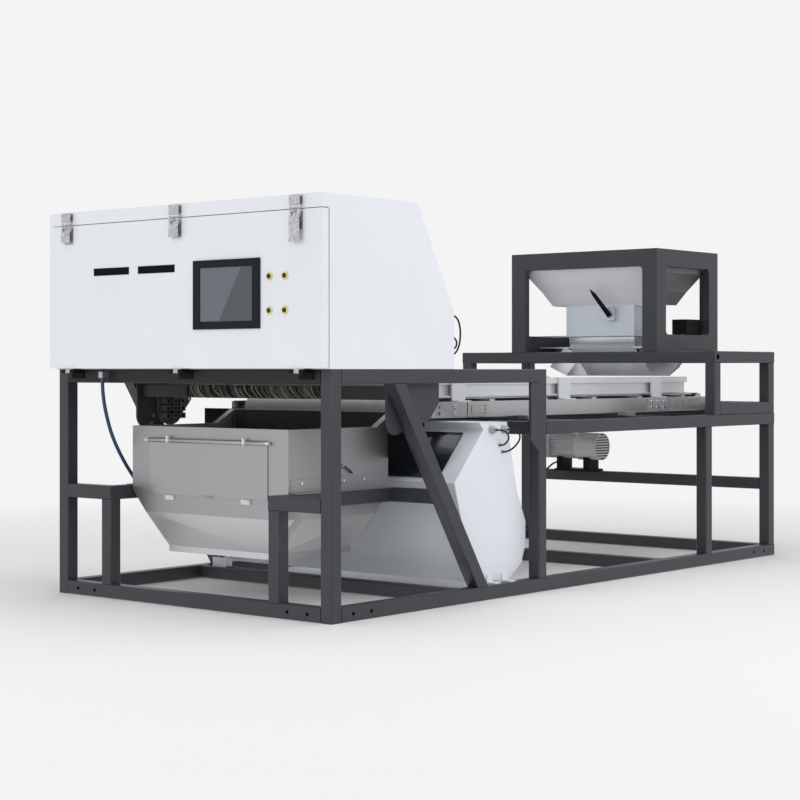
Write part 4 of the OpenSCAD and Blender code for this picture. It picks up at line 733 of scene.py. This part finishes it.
def floor_mesh():
    """A round floor in rings: a grid over radius and angle, with a fan of triangles in the middle."""
    radius = np.linspace(0.0, FLOOR_RADIUS, FLOOR_RINGS + 1)[1:]
    turn = np.linspace(0.0, 2 * np.pi, FLOOR_SIDES + 1)[:-1]
    r, t = np.meshgrid(radius, turn, indexing="ij")
    ring = np.stack([r * np.cos(t), r * np.sin(t), np.zeros_like(r)], -1).reshape(-1, 3)
    n = FLOOR_SIDES
    k = np.arange(n)
    after = (k + 1) % n
    fan = np.stack([np.zeros_like(k), 1 + k, 1 + after], -1)
    inner = 1 + np.arange(FLOOR_RINGS - 1)[:, None] * n
    quads = np.stack([inner + k, inner + n + k, inner + n + after, inner + after], -1).reshape(-1, 4)
    mesh = bpy.data.meshes.new("floor")
    mesh.from_pydata(np.vstack([(0.0, 0.0, 0.0), ring]).tolist(), [], fan.tolist() + quads.tolist())
    return mesh


def pale_floor():
    """The floor's finish fades to clear at the rim, so the floor keeps the machine's soft shadow
    and has no horizon. Bright metal sees it as the lit sweep of the studio, white all over."""
    mesh = floor_mesh()
    floor = put_in_scene(bpy.data.objects.new("floor", mesh))
    material, tree, shader, where = finish("pale_floor", "#ececec", 0.85, shine=0.1)
    reach = node(tree, "ShaderNodeVectorMath", {0: where}, operation="LENGTH")
    fade = node(tree, "ShaderNodeMapRange", {"Value": reach.outputs["Value"]}, From_Min=FADE_FROM, From_Max=FADE_TO)
    clear = node(tree, "ShaderNodeBsdfTransparent")
    path = node(tree, "ShaderNodeLightPath")
    bright = node(tree, "ShaderNodeEmission", Color=linear(PALE), Strength=1.0)
    bare = node(tree, "ShaderNodeMixShader",
                {0: path.outputs["Is Glossy Ray"], 1: shader.outputs[0], 2: bright.outputs[0]})
    mixed = node(tree, "ShaderNodeMixShader", {0: fade.outputs["Result"], 1: bare.outputs[0], 2: clear.outputs[0]})
    tree.links.new(mixed.outputs[0], tree.nodes["Material Output"].inputs["Surface"])
    mesh.materials.append(material)


def white_surround():
    """The world is the pale background to the camera, metal and glass, and a dimmer, even light
    to the rest."""
    world = bpy.data.worlds.new("studio")
    bpy.context.scene.world = world
    world.use_nodes = True
    tree = world.node_tree
    path = node(tree, "ShaderNodeLightPath").outputs
    shown = node(tree, "ShaderNodeMath", {0: path["Is Camera Ray"], 1: path["Is Glossy Ray"]}, operation="MAXIMUM")
    shown = node(tree, "ShaderNodeMath", {0: shown.outputs[0], 1: path["Is Transmission Ray"]}, operation="MAXIMUM")
    strength = node(tree, "ShaderNodeMapRange", {"Value": shown.outputs[0]}, To_Min=AMBIENT, To_Max=1.0)
    shine = tree.nodes["Background"]
    shine.inputs["Color"].default_value = linear(PALE)
    tree.links.new(strength.outputs["Result"], shine.inputs["Strength"])


def soft_lamp(name, place, target, size, watts):
    """A round lamp, size metres across, that points from one drawing point to another."""
    data = bpy.data.lights.new(name, "AREA")
    data.shape = "DISK"
    data.size = size
    data.energy = watts
    lamp = put_in_scene(bpy.data.objects.new(name, data))
    lamp.location = at(*place)
    way = np.subtract(at(*target), at(*place))
    tilt = math.acos(-way[2] / np.linalg.norm(way))
    lamp.rotation_euler = (tilt, 0.0, math.atan2(way[0], -way[1]) + math.pi)


def studio():
    """Floor, surround and lamps. The two lamps beside the camera are its key and its fill."""
    pale_floor()
    white_surround()
    soft_lamp("overhead", (600, 1500, 5400), (0, 1600, 600), 5.0, 78)
    soft_lamp("right", (6600, 600, 3000), (300, 900, 900), 3.6, 93)
    soft_lamp("front", (600, -6400, 3600), (0, 300, 900), 3.6, 80)
    # Light thrown back by the floor onto the faces that lean forwards and down
    soft_lamp("bounce", (-300, -3400, 120), (0, 300, 600), 2.4, 16)
    bpy.context.scene.view_settings.view_transform = "Standard"


place_camera()
for cord in CORDS:
    lay_cord(*cord)
dress_solids()
valve_wires()
bolt_details()
terminal_lid()
cable_boots()
carrier_pins()
hopper_catch()
latch_plates()
hopper_lining()
door_gasket()
studio()
